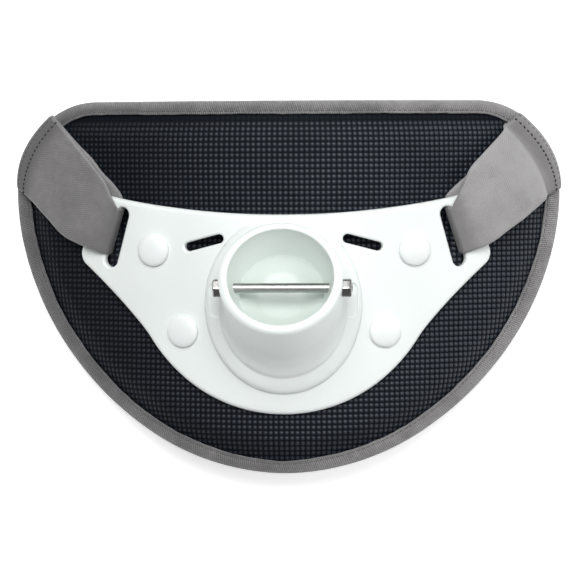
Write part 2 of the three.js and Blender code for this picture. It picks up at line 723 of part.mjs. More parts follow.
function named(name, geometry, material) {
  const shown = geometry.index ? geometry.toNonIndexed() : geometry;
  shown.computeVertexNormals();
  const mesh = new THREE.Mesh(shown, new THREE.MeshStandardMaterial(MATERIALS[material]));
  mesh.name = name;
  return mesh;
}

function rivetMesh(place) {
  const mesh = named(place.name, rivetGeometry(), 'moulding');
  const frame = plateFrame(place.u, place.v);
  mesh.position.setFromMatrixPosition(frame);
  mesh.quaternion.setFromRotationMatrix(frame);
  return mesh;
}

const belt = new THREE.Group();
belt.add(
  named('pad_cushion', padSolid(), 'padCover'),
  named('edge_binding', bindingSolid(), 'binding'),
  named('gimbal_plate', gimbalSolid(), 'moulding'),
  named('cross_pin', pinSolid(), 'steel'),
  named('pin_nut', nutSolid(), 'steel'),
  named('strap_left', strapSolid(-1), 'webbing'),
  named('strap_right', strapSolid(1), 'webbing'),
  ...rivetPlaces().map(rivetMesh),
);

// The belt lies on its back, and the origin is the middle of its footprint
const part = new THREE.Group();
part.add(belt);
belt.rotation.x = REST_TILT;
const extent = new THREE.Box3().setFromObject(part, true);
const middle = extent.getCenter(new THREE.Vector3());
belt.position.set(-middle.x, -middle.y, -extent.min.z);

export default part;
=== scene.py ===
"""Fishing fighting belt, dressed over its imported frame.

A padded waist panel has a bound edge, a moulded plate with a tilted rod cup, a steel cross pin,
domed rivets and two webbing straps. Lengths inside the classes are millimetres, unless they say
otherwise. Soft and moulded pieces are laid out flat, with u across the waist, v up and w outward
from the pad's back face, and WaistCurve carries them onto the bent belt in the frame's metres.
"""

from __future__ import annotations

import logging
import math
from dataclasses import dataclass
from enum import Enum
from functools import reduce
from typing import Callable

import bpy
import numpy as np
from mathutils import Matrix, Vector
from mathutils.geometry import delaunay_2d_cdt

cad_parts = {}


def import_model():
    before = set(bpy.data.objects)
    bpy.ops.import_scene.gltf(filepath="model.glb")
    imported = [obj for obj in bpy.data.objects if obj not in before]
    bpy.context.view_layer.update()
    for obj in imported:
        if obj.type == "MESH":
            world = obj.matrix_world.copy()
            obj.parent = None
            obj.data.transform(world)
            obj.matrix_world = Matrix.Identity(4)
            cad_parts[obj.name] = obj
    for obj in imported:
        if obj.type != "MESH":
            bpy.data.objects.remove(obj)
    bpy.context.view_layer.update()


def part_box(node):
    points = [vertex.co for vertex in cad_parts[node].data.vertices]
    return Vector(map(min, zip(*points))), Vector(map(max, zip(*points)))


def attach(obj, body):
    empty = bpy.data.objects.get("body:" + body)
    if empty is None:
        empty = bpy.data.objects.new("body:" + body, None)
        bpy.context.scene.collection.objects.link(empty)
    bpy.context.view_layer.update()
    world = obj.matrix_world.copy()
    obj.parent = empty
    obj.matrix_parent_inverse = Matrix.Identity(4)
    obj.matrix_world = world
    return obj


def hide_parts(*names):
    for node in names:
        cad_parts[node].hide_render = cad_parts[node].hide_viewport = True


LOG = logging.getLogger("fighting_belt")
Array = np.ndarray
Socket = bpy.types.NodeSocket
Colour = tuple[float, float, float]

# Length of the panel's edge, and depth of the pin's axis below the cup's rim, in millimetres
PERIMETER = 880.0
PIN_DEPTH = 14.2


class Side(Enum):
    """Side of the belt in the photograph, and the sign of u there."""

    LEFT = -1
    RIGHT = 1


# Numbers and curves


def smoothstep(x: Array, low: float, high: float) -> Array:
    """Rises from 0 at low to 1 at high along 3t² − 2t³."""
    t = np.clip((x - low) / (high - low), 0.0, 1.0)
    return t * t * (3.0 - 2.0 * t)


def ripple(x: Array, waves: list[tuple[float, float, float]]) -> Array:
    """Sum of sines.

    Args:
        x: Places, in millimetres.
        waves: Height, wavelength and phase of each sine.

    Returns:
        The sum at each place.
    """
    return sum(height * np.sin(2 * np.pi * x / length + phase) for height, length, phase in waves)


def through(shares: Array, values: Array, at: Array) -> Array:
    """Smooth curve through table rows, a cubic whose slope at each row is that of its neighbours.

    Args:
        shares: Where the rows stand, rising.
        values: One row of values for each share.
        at: Where the curve is wanted.

    Returns:
        One row of values for each place.
    """
    slopes = np.gradient(values, shares, axis=0)
    k = np.clip(np.searchsorted(shares, at, side="right") - 1, 0, len(shares) - 2)
    span = (shares[k + 1] - shares[k])[:, None]
    t = ((at - shares[k]) / span[:, 0])[:, None]
    rise, start, end = values[k + 1] - values[k], slopes[k] * span, slopes[k + 1] * span
    return values[k] + t * start + t**2 * (3 * rise - 2 * start - end) + t**3 * (start + end - 2 * rise)


def run_along(path: Array) -> Array:
    """Distance along a path at each of its corners."""
    return np.concatenate([[0.0], np.cumsum(np.linalg.norm(np.diff(path, axis=0), axis=1))])


def evenly(path: Array, count: int, closed: bool) -> Array:
    """Points at equal steps along a path.

    Args:
        path: Corners of the path.
        count: How many points.
        closed: Whether the path joins its start.

    Returns:
        The points, without the start again where the path is closed.
    """
    line = np.vstack([path, path[:1]]) if closed else path
    run = run_along(line)
    at = np.linspace(0.0, run[-1], count, endpoint=not closed)
    return np.stack([np.interp(at, run, line[:, k]) for k in range(line.shape[1])], axis=1)


def arc(centre: tuple[float, float], radius: float, start: float, end: float, count: int) -> Array:
    """Points on a circle between two angles in degrees."""
    angle = np.radians(np.linspace(start, end, count))
    return np.stack([centre[0] + radius * np.cos(angle), centre[1] + radius * np.sin(angle)], axis=1)


def quadratic(a: Array, b: Array, c: Array, count: int) -> Array:
    """Points on the parabola from a to c that leaves and ends towards b."""
    t = np.linspace(0.0, 1.0, count)[:, None]
    return (1 - t) ** 2 * a + 2 * t * (1 - t) * b + t**2 * c


def unit(vectors: Array) -> Array:
    """Vectors scaled to a length of one."""
    return vectors / np.linalg.norm(vectors, axis=-1, keepdims=True)


def turns(count: int) -> Array:
    """Angles at equal steps round a circle."""
    return np.arange(count) * 2 * np.pi / count


def crossed(rows: Array, columns: Array) -> Array:
    """Grid of the pairs of its rows' and its columns' places, for a UV map."""
    return np.stack(np.meshgrid(rows, columns, indexing="ij"), axis=-1)


def mound(flat: Array, centre: tuple[float, float], reach: tuple[float, float], power: int = 2) -> Array:
    """One at a centre, and away from it e to the minus sum of both shares of the reach to a power."""
    return np.exp(-(((flat - centre) / reach) ** power).sum(axis=-1))


def both_halves(right: Array) -> Array:
    """Closed clockwise path from its right half, for an outline that is the same on both sides."""
    return np.vstack([right, right[1:-1][::-1] * np.array([-1.0, 1.0])])


def passing(loop: Array) -> Array:
    """Step from the corner before to the corner after, all round a closed loop."""
    return np.roll(loop, -1, axis=0) - np.roll(loop, 1, axis=0)


def loop_normals(loop: Array) -> Array:
    """Unit normals of a closed clockwise loop, towards its inside."""
    along = unit(passing(loop))
    return np.stack([along[:, 1], -along[:, 0]], axis=1)


def nearest(points: Array, loop: Array) -> tuple[Array, Array]:
    """Distance to the nearest corner of a loop, and that corner's number, for each point.

    Args:
        points: The points.
        loop: The loop's corners.

    Returns:
        Distances and numbers.
    """
    distance, index = np.empty(len(points)), np.empty(len(points), dtype=np.int64)
    for start in range(0, len(points), 4000):
        part = slice(start, start + 4000)
        squares = ((points[part, None, :] - loop[None, :, :]) ** 2).sum(axis=2)
        index[part] = squares.argmin(axis=1)
        distance[part] = np.sqrt(squares.min(axis=1))
    return distance, index


def within(points: Array, loop: Array) -> Array:
    """Whether each point lies inside a loop, by counting the edges above it.

    Args:
        points: The points.
        loop: The loop's corners.

    Returns:
        True where a point is inside.
    """
    a, b = loop, np.roll(loop, -1, axis=0)
    x, y = points[:, :1], points[:, 1:]
    crosses = (a[:, 0] <= x) != (b[:, 0] <= x)
    run = np.where(b[:, 0] == a[:, 0], 1.0, b[:, 0] - a[:, 0])
    height = a[:, 1] + (x - a[:, 0]) * (b[:, 1] - a[:, 1]) / run
    return (crosses & (height > y)).sum(axis=1) % 2 == 1


# Shells and objects


@dataclass
class Shell:
    """Corners, faces in blocks of three or four corners, and for each block the corners' UV places
    in millimetres and the number of its finish."""

    points: Array
    faces: list[Array]
    uvs: list[Array]
    tones: list[int]

    def joined(self, other: Shell) -> Shell:
        """Both shells as one.

        Args:
            other: The other shell.

        Returns:
            The new shell.
        """
        faces = self.faces + [block + len(self.points) for block in other.faces]
        points = np.vstack([self.points, other.points])
        return Shell(points, faces, self.uvs + other.uvs, self.tones + other.tones)

    def placed(self, way: Callable[[Array], Array]) -> Shell:
        """The same shell with its corners carried to other places."""
        return Shell(way(self.points), self.faces, self.uvs, self.tones)

    def outward(self) -> Shell:
        """The same closed shell with its faces turned outwards, by the sign of its volume.

        Returns:
            The shell.
        """
        centre = self.points.mean(axis=0)
        volume = 0.0
        for block in self.faces:
            a = self.points[block[:, 0]] - centre
            for k in range(1, block.shape[1] - 1):
                b, c = self.points[block[:, k]] - centre, self.points[block[:, k + 1]] - centre
                volume += float((a * np.cross(b, c)).sum())
        if volume >= 0:
            return self
        faces = [block[:, ::-1] for block in self.faces]
        return Shell(self.points, faces, [uv[:, ::-1] for uv in self.uvs], self.tones)


def lattice(points: Array, uv: Array, rows_closed: bool, columns_closed: bool, tone: int = 0) -> Shell:
    """Shell over a grid of points.

    Args:
        points: Grid of shape rows × columns × 3.
        uv: Places of shape rows × columns × 2, with one more row or column where the grid closes.
        rows_closed: Whether the last row joins the first.
        columns_closed: Whether the last column joins the first.
        tone: Number of the finish.

    Returns:
        The shell, whose faces each have four corners.
    """
    rows, columns = points.shape[:2]
    j, i = np.meshgrid(
        np.arange(rows if rows_closed else rows - 1),
        np.arange(columns if columns_closed else columns - 1),
        indexing="ij",
    )
    j, i = j.ravel(), i.ravel()
    corners = [(j, i), (j, i + 1), (j + 1, i + 1), (j + 1, i)]
    faces = np.stack([(a % rows) * columns + b % columns for a, b in corners], axis=1)
    places = np.stack([uv[a, b] for a, b in corners], axis=1)
    return Shell(points.reshape(-1, 3), [faces], [places], [tone])


def capped(shell: Shell, ring: Array, centre: Array, tone: int = 0) -> Shell:
    """Closes a ring of corners with a fan to a new middle corner.

    Args:
        shell: The shell.
        ring: Numbers of the ring's corners, in the order of the fan's faces.
        centre: Place of the middle corner.
        tone: Number of the fan's finish.

    Returns:
        The shell with the fan.
    """
    hub = len(shell.points)
    fan = np.stack([ring, np.roll(ring, -1), np.full(len(ring), hub)], axis=1)
    points = np.vstack([shell.points, centre[None, :]])
    places = points[fan][:, :, :2]
    return Shell(points, [*shell.faces, fan], [*shell.uvs, places], [*shell.tones, tone])


def tube(
    grid: Array, run: Array, girth: float, ends: tuple[Array, Array], bands: tuple[int, ...] = ()
) -> Shell:
    """Closed shell over a grid of rings, with a fan to a middle corner at both ends.

    Args:
        grid: Rings of points.
        run: UV place of each ring.
        girth: UV step round the rings.
        ends: Middle corners of the first and the last ring.
        bands: Rings at which the finish changes to the next one.

    Returns:
        The shell, with its faces turned outwards.
    """
    rows, count = grid.shape[:2]
    shell = lattice(grid, crossed(run, np.arange(count + 1) * girth), False, True)
    cuts = [ring * count for ring in bands]
    faces, uvs = np.split(shell.faces[0], cuts), np.split(shell.uvs[0], cuts)
    shell = Shell(shell.points, faces, uvs, list(range(len(faces))))
    shell = capped(shell, np.arange(count)[::-1], ends[0])
    return capped(shell, (rows - 1) * count + np.arange(count), ends[1], len(cuts)).outward()


def ring_bands(ring: Array) -> Array:
    """Faces of four corners between rings of corner numbers, each of which joins its start."""
    after = np.roll(ring, -1, axis=1)
    return np.stack([ring[:-1], after[:-1], after[1:], ring[1:]], axis=-1).reshape(-1, 4)


def make_object(
    name: str, shell: Shell, finishes: list[bpy.types.Material], sharp: float = 38.0
) -> bpy.types.Object:
    """Mesh object at the origin, smooth but for edges sharper than an angle.

    Args:
        name: The object's name.
        shell: Its corners in metres, and faces.
        finishes: Materials, numbered as the shell's tones.
        sharp: Angle in degrees.

    Returns:
        The linked object.
    """
    mesh = bpy.data.meshes.new(name)
    corners = np.concatenate([block.ravel() for block in shell.faces]).astype(np.int32)
    sizes = np.concatenate([np.full(len(block), block.shape[1]) for block in shell.faces])
    tones = np.concatenate([np.full(len(b), t) for b, t in zip(shell.faces, shell.tones)])
    mesh.vertices.add(len(shell.points))
    mesh.vertices.foreach_set("co", shell.points.astype(np.float32).ravel())
    mesh.loops.add(len(corners))
    mesh.loops.foreach_set("vertex_index", corners)
    mesh.polygons.add(len(sizes))
    starts = np.concatenate([[0], np.cumsum(sizes)[:-1]]).astype(np.int32)
    mesh.polygons.foreach_set("loop_start", starts)
    for finish in finishes:
        mesh.materials.append(finish)
    mesh.update(calc_edges=True)
    mesh.polygons.foreach_set("material_index", tones.astype(np.int32))
    mesh.polygons.foreach_set("use_smooth", np.ones(len(sizes), dtype=bool))
    places = np.concatenate([uv.reshape(-1, 2) for uv in shell.uvs]).astype(np.float32)
    mesh.uv_layers.new(name="Flat").data.foreach_set("uv", places.ravel())
    mesh.set_sharp_from_angle(angle=math.radians(sharp))
    made = bpy.data.objects.new(name, mesh)
    bpy.context.scene.collection.objects.link(made)
    return made


def settled(made: bpy.types.Object, slot: str, *nodes: str) -> bpy.types.Object:
    """Puts a piece on the root body, in place of CAD nodes if any.

    Args:
        made: The piece.
        slot: The record's material slot; not used.
        nodes: CAD nodes that the piece stands for.

    Returns:
        The piece.
    """
    if nodes:
        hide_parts(*nodes)
    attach(made, "root")
    LOG.info("%s: %d faces", made.name, len(made.data.polygons))
    return made


@dataclass(frozen=True)
class WaistCurve:
    """Arc with straight sides that the belt is bent to, and how the belt lies in the frame."""

    radius: float = 205.0
    half_angle: float = math.radians(23.5)
    pad_thickness: float = 14.0
    rest_tilt: float = math.radians(9.0)
    shift: tuple[float, float, float] = (0.0, 0.0, 0.0)

    def bend(self, flat: Array) -> Array:
        """Flat layout to bent belt: u turns about the waist's centre up to the arc's end and runs
        straight on past it, v stays, and w adds to the radius.

        Args:
            flat: Places in the flat layout.

        Returns:
            Places in the belt.
        """
        u, v, w = flat[..., 0], flat[..., 1], flat[..., 2]
        reach = self.radius * self.half_angle
        on_arc = np.clip(u, -reach, reach)
        past, angle = u - on_arc, on_arc / self.radius
        level = self.radius + w - self.pad_thickness
        x = level * np.sin(angle) + past * np.cos(angle)
        z = level * np.cos(angle) - self.radius - past * np.sin(angle)
        return np.stack([x, v, z], axis=-1)

    def stand(self, belt: Array) -> Array:
        """Bent belt to the frame's metres: a turn about x by the rest tilt, then the shift.

        Args:
            belt: Places in the belt.

        Returns:
            Places in the frame.
        """
        x, y, z = belt[..., 0], belt[..., 1], belt[..., 2]
        cos, sin = math.cos(self.rest_tilt), math.sin(self.rest_tilt)
        turned = np.stack([x, y * cos - z * sin, y * sin + z * cos], axis=-1)
        return (turned + np.array(self.shift)) / 1000.0

    def lay(self, flat: Array) -> Array:
        """Flat layout to the frame's metres."""
        return self.stand(self.bend(flat))

    def upright(self, flat: Array) -> Array:
        """Unit normals of the bent level surface at places of the flat layout, in the belt.

        Args:
            flat: Places in the flat layout.

        Returns:
            One normal for each place.
        """
        reach = self.radius * self.half_angle
        angle = np.clip(flat[..., 0], -reach, reach) / self.radius
        return np.stack([np.sin(angle), np.zeros_like(angle), np.cos(angle)], axis=-1)


# Finishes


class Bench:
    """Node tree of one material, with short calls for the nodes that the finishes share."""

    def __init__(self, name: str) -> None:
        """Makes an empty material with a shader and an output.

        Args:
            name: The material's name.
        """
        self.material = bpy.data.materials.new(name)
        self.material.use_nodes = True
        self.tree = self.material.node_tree
        self.tree.nodes.clear()
        self.shader = self.node("ShaderNodeBsdfPrincipled")
        output = self.node("ShaderNodeOutputMaterial")
        self.tree.links.new(self.shader.outputs["BSDF"], output.inputs["Surface"])

    def node(self, kind: str, **settings: object) -> bpy.types.Node:
        """New node with some of its properties set.

        Args:
            kind: The node's type.
            settings: Properties by name.

        Returns:
            The node.
        """
        made = self.tree.nodes.new(kind)
        for key, value in settings.items():
            setattr(made, key, value)
        return made

    def feed(self, socket: bpy.types.NodeSocket, value: object) -> None:
        """Links a socket to another, or sets its value.

        Args:
            socket: Input of a node.
            value: Number, colour or output.
        """
        if isinstance(value, bpy.types.NodeSocket):
            self.tree.links.new(value, socket)
        else:
            socket.default_value = value

    def math(self, operation: str, *values: object) -> Socket:
        """Output of a math node.

        Args:
            operation: What the node works out.
            values: Numbers or outputs that it works on.

        Returns:
            The output.
        """
        made = self.node("ShaderNodeMath", operation=operation)
        for socket, value in zip(made.inputs, values):
            self.feed(socket, value)
        return made.outputs[0]

    def times(self, *values: object) -> Socket:
        """Product of numbers and outputs."""
        return reduce(lambda a, b: self.math("MULTIPLY", a, b), values)

    def weigh(self, *parts: tuple[object, float]) -> Socket:
        """Sum of outputs, each times its weight."""
        return reduce(lambda a, b: self.math("ADD", a, b), [self.times(*part) for part in parts])

    def shade(self, share: object, dark: Colour, light: Colour) -> Socket:
        """Colour between two others.

        Args:
            share: How far it goes from the first to the second.
            dark: The first colour.
            light: The second colour.

        Returns:
            The output.
        """
        made = self.node("ShaderNodeMix", data_type="RGBA")
        self.feed(made.inputs["Factor"], share)
        self.feed(made.inputs[6], (*dark, 1.0))
        self.feed(made.inputs[7], (*light, 1.0))
        return made.outputs[2]

    def spread(self, value: object, low: float, high: float, start: float = 0.0, end: float = 1.0) -> Socket:
        """Value carried from one range to another, and held at its ends.

        Args:
            value: The output.
            low: Result at the start.
            high: Result at the end.
            start: Start of the value's range.
            end: End of the value's range.

        Returns:
            The output.
        """
        made = self.node("ShaderNodeMapRange")
        self.feed(made.inputs["Value"], value)
        for label, number in zip(("From Min", "From Max", "To Min", "To Max"), (start, end, low, high)):
            made.inputs[label].default_value = number
        return made.outputs["Result"]

    def own_place(self) -> Socket:
        """Output with the object's own metres."""
        return self.node("ShaderNodeTexCoord").outputs["Object"]

    def noise(self, scale: float, vector: object = None, detail: float = 3.0) -> Socket:
        """Noise over the object's own metres, or over a given vector.

        Args:
            scale: Features to a metre, or to a unit of the vector.
            vector: Place to use, if not the object's own.
            detail: How many finer layers it has.

        Returns:
            The output, about 0.5 at its middle.
        """
        made = self.node("ShaderNodeTexNoise")
        made.inputs["Scale"].default_value = scale
        made.inputs["Detail"].default_value = detail
        self.feed(made.inputs["Vector"], self.own_place() if vector is None else vector)
        return made.outputs["Fac"]

    def flat(self) -> tuple[Socket, Socket]:
        """Places of the piece's own UV map, in millimetres.

        Returns:
            The outputs along and across.
        """
        places = self.node("ShaderNodeUVMap", uv_map="Flat")
        split = self.node("ShaderNodeSeparateXYZ")
        self.feed(split.inputs[0], places.outputs[0])
        return split.outputs[0], split.outputs[1]

    def painted_light_ramp(self, left: float, right: float) -> Socket:
        """Painted light: a value that goes evenly from one to another across the belt, by the object's own
        x, so that fabrics are lighter on one side.

        Args:
            left: Value at the left edge.
            right: Value at the right edge.

        Returns:
            The output.
        """
        split = self.node("ShaderNodeSeparateXYZ")
        self.feed(split.inputs[0], self.own_place())
        return self.spread(split.outputs[0], left, right, -0.15, 0.15)

    def wave(self, place: object, length: float) -> Socket:
        """Sine of a place over a wavelength, from 0 to 1."""
        turned = self.times(place, 2 * math.pi / length)
        return self.math("MULTIPLY_ADD", self.math("SINE", turned), 0.5, 0.5)

    def bump(self, height: object, distance: float, strength: float = 1.0) -> None:
        """Feeds the shader's normal from a height in metres.

        Args:
            height: Output from about 0 to 1.
            distance: Metres that a height of 1 stands for.
            strength: Share of the effect.
        """
        made = self.node("ShaderNodeBump")
        made.inputs["Strength"].default_value = strength
        made.inputs["Distance"].default_value = distance
        self.feed(made.inputs["Height"], height)
        self.tree.links.new(made.outputs["Normal"], self.shader.inputs["Normal"])

    def set(self, **values: object) -> None:
        """Sets or links sockets of the shader, named with underscores for spaces."""
        for key, value in values.items():
            self.feed(self.shader.inputs[key.replace("_", " ")], value)


@dataclass(frozen=True)
class EmbossedCover:
    """Coated fabric pressed into small square domes, with a satin top and matt grooves. It is nearly plain
    along the straight upper edge, and painted light makes it lighter and glossier towards the right."""

    pitch: float = 2.9
    groove: Colour = (0.0028, 0.0035, 0.0054)
    dome: Colour = (0.0135, 0.0166, 0.0248)
    plain_above: float = 89.5

    def make(self) -> bpy.types.Material:
        """Material whose domes are the product of both flat directions' sines, to the power of 1.5.

        Returns:
            The material.
        """
        bench = Bench("embossed_cover")
        along, across = bench.flat()
        rows = [
            bench.math("ABSOLUTE", bench.math("SINE", bench.times(way, math.pi / self.pitch)))
            for way in (along, across)
        ]
        plain = bench.spread(across, 1.0, 0.1, self.plain_above - 2.0, self.plain_above + 1.0)
        dome = bench.times(bench.math("POWER", bench.times(*rows), 1.5), plain)
        grain = bench.noise(2600.0)
        # Painted light: the ramp across the belt makes the domes lighter and glossier towards the right
        share = bench.times(dome, bench.spread(bench.noise(38.0), 0.6, 1.2), bench.painted_light_ramp(0.24, 2.0))
        bench.set(
            Base_Color=bench.shade(share, self.groove, self.dome),
            Roughness=bench.math("ADD", bench.spread(dome, 0.66, 0.42), bench.spread(grain, -0.05, 0.06)),
            Specular_IOR_Level=bench.spread(share, 0.1, 0.8),
            Specular_Tint=(0.8, 0.9, 1.0, 1.0),
        )
        bench.bump(bench.weigh((dome, 1.0), (grain, 0.1)), 0.00026)
        return bench.material


@dataclass(frozen=True)
class BackingCloth:
    """Close black knit on the side that lies against the waist."""

    yarn: Colour = (0.016, 0.017, 0.019)
    gap: Colour = (0.006, 0.006, 0.007)

    def make(self) -> bpy.types.Material:
        """Material of knitted rows, waves of 1.1 mm by 0.9 mm.

        Returns:
            The material.
        """
        bench = Bench("backing_cloth")
        along, across = bench.flat()
        shifted = bench.weigh((along, 1.0), (bench.wave(across, 1.8), 0.4))
        knit = bench.times(bench.wave(shifted, 1.1), bench.wave(across, 0.9))
        bench.set(
            Base_Color=bench.shade(bench.spread(knit, 0.1, 1.0), self.gap, self.yarn),
            Roughness=bench.spread(bench.noise(900.0), 0.8, 0.95),
            Sheen_Weight=0.04,
        )
        bench.bump(knit, 0.0001, 0.8)
        return bench.material


@dataclass(frozen=True)
class WovenWebbing:
    """Ribbed or twilled tape: wavelengths of its ribs and threads, the ribs' lean in degrees, relief in
    metres, and painted shade at folds, each by its middle, reach and share of darkening along the tape."""

    name: str
    yarn: Colour
    gap: Colour
    rib: float
    lean: float
    thread: float
    relief: float
    selvedge: float
    contrast: float
    painted_fold_shades: tuple[tuple[float, float, float], ...] = ()

    def make(self) -> bpy.types.Material:
        """Material of slanted ribs crossed by finer threads and mixed with fuzz. Painted shade darkens it at
        the folds by e to the minus square of the distance over their reach, painted light makes it lighter
        towards the right, and clouds of two sizes mottle it.

        Returns:
            The material.
        """
        bench = Bench(self.name)
        along, across = bench.flat()
        cos, sin = math.cos(math.radians(self.lean)), math.sin(math.radians(self.lean))
        ribs = bench.wave(bench.weigh((along, cos), (across, sin)), self.rib)
        threads = bench.wave(bench.weigh((along, -sin), (across, cos)), self.thread)
        weave = bench.weigh((ribs, 0.65), (threads, 0.35))
        fuzz = bench.spread(bench.noise(2000.0, detail=4.0), 0.15, 0.85, 0.3, 0.7)
        share = bench.weigh((weave, self.contrast), (fuzz, 1.0 - self.contrast))
        # Painted light: the tape is lighter towards the right of the belt
        share = bench.times(share, bench.painted_light_ramp(0.5, 1.6))
        # Painted shade where the webbing turns down at the hem and into the slot
        for middle, reach, depth in self.painted_fold_shades:
            off = bench.math("DIVIDE", bench.math("SUBTRACT", along, middle), reach)
            near = bench.math("EXPONENT", bench.times(off, off, -1.0))
            share = bench.times(share, bench.math("MULTIPLY_ADD", near, -depth, 1.0))
        for scale, change in ((55.0, 0.3), (230.0, 0.2)):
            cloud = bench.spread(bench.noise(scale), 1.0 - change, 1.0 + change, 0.3, 0.7)
            share = bench.times(share, cloud)
        rim = bench.math("GREATER_THAN", bench.math("ABSOLUTE", across), self.selvedge)
        share = bench.math("MULTIPLY_ADD", rim, 0.25, share)
        bench.set(
            Base_Color=bench.shade(share, self.gap, self.yarn),
            Roughness=bench.spread(fuzz, 0.45, 0.7),
            Sheen_Weight=0.25,
            Sheen_Roughness=0.45,
        )
        bench.bump(bench.weigh((weave, 0.8), (fuzz, 0.35)), self.relief, 0.9)
        return bench.material


@dataclass(frozen=True)
class MouldedPlastic:
    """White moulded plastic with a soft gloss, faint flow clouds and fine orange peel."""

    name: str = "moulded_white"
    light: Colour = (0.84, 0.882, 0.868)
    shade: Colour = (0.79, 0.84, 0.822)

    def make(self) -> bpy.types.Material:
        """Material of two close whites, with gloss that varies a little.

        Returns:
            The material.
        """
        bench = Bench(self.name)
        cloud, scuff = bench.noise(24.0), bench.noise(160.0, detail=6.0)
        bench.set(
            Base_Color=bench.shade(bench.spread(cloud, 0.0, 0.8), self.light, self.shade),
            Roughness=bench.math("ADD", bench.spread(scuff, 0.24, 0.4), bench.spread(cloud, 0.0, 0.06)),
            Specular_IOR_Level=0.45,
            Coat_Weight=0.12,
            Coat_Roughness=0.2,
        )
        bench.bump(bench.noise(420.0), 0.00003, 0.5)
        return bench.material


@dataclass(frozen=True)
class DrawnSteel:
    """Stainless steel rod with fine draw lines along it."""

    tint: Colour = (0.44, 0.435, 0.425)
    worn: Colour = (0.3, 0.295, 0.285)

    def make(self) -> bpy.types.Material:
        """Material of noise stretched along x, for draw lines, and of stains.

        Returns:
            The material.
        """
        bench = Bench("drawn_steel")
        mapping = bench.node("ShaderNodeMapping")
        mapping.inputs["Scale"].default_value = (0.02, 1.0, 1.0)
        bench.feed(mapping.inputs["Vector"], bench.own_place())
        lines, stain = bench.noise(5200.0, mapping.outputs["Vector"], 5.0), bench.noise(260.0)
        bench.set(
            Base_Color=bench.shade(bench.spread(stain, 0.0, 0.7), self.tint, self.worn),
            Roughness=bench.math("ADD", bench.spread(lines, 0.12, 0.3), bench.spread(stain, 0.0, 0.1)),
            Metallic=1.0,
        )
        bench.bump(lines, 0.00002, 0.5)
        return bench.material


@dataclass(frozen=True)
class SewingThread:
    """Twisted thread, with darker grooves between its plies."""

    name: str
    ply: Colour
    groove: Colour

    def make(self) -> bpy.types.Material:
        """Material of slanted plies 0.35 mm apart.

        Returns:
            The material.
        """
        bench = Bench(self.name)
        along, across = bench.flat()
        twist = bench.wave(bench.weigh((along, 1.0), (across, 0.7)), 0.35)
        fuzz = bench.noise(3000.0)
        bench.set(
            Base_Color=bench.shade(bench.times(twist, fuzz), self.groove, self.ply),
            Roughness=bench.spread(fuzz, 0.6, 0.8),
        )
        bench.bump(twist, 0.00005, 0.6)
        return bench.material


# Sub-assemblies


@dataclass
class PadOutline:
    """Outline of the waist panel: straight top, round upper corners and one full lower curve."""

    half_width: float = 164.5
    top: float = 100.7
    bottom: float = -103.0
    widest_line: float = 49.0
    fullness: float = 1.9
    leg: float = 7.2
    side_growth: float = 3.3

    def loop(self, count: int) -> Array:
        """Clockwise loop from the top's middle: a flat top, a quarter circle, and the curve where
        the shares of width and drop, raised to the fullness, add up to one.

        Args:
            count: How many corners.

        Returns:
            The loop's corners.
        """
        corner = self.top - self.widest_line
        end = self.half_width - corner
        angle = np.linspace(0.0, np.pi / 2, 700)[1:]
        power = 2.0 / self.fullness
        lower = np.stack(
            [
                self.half_width * np.cos(angle).clip(0.0) ** power,
                self.widest_line - (self.widest_line - self.bottom) * np.sin(angle) ** power,
            ],
            axis=1,
        )
        right = np.vstack([[[0.0, self.top]], arc((end, self.widest_line), corner, 90.0, 0.0, 200), lower])
        return evenly(both_halves(right), count, True)

    def legs(self, normals: Array) -> Array:
        """Width of the binding's leg, more where the edge runs upright."""
        return self.leg + self.side_growth * np.abs(normals[:, 0])


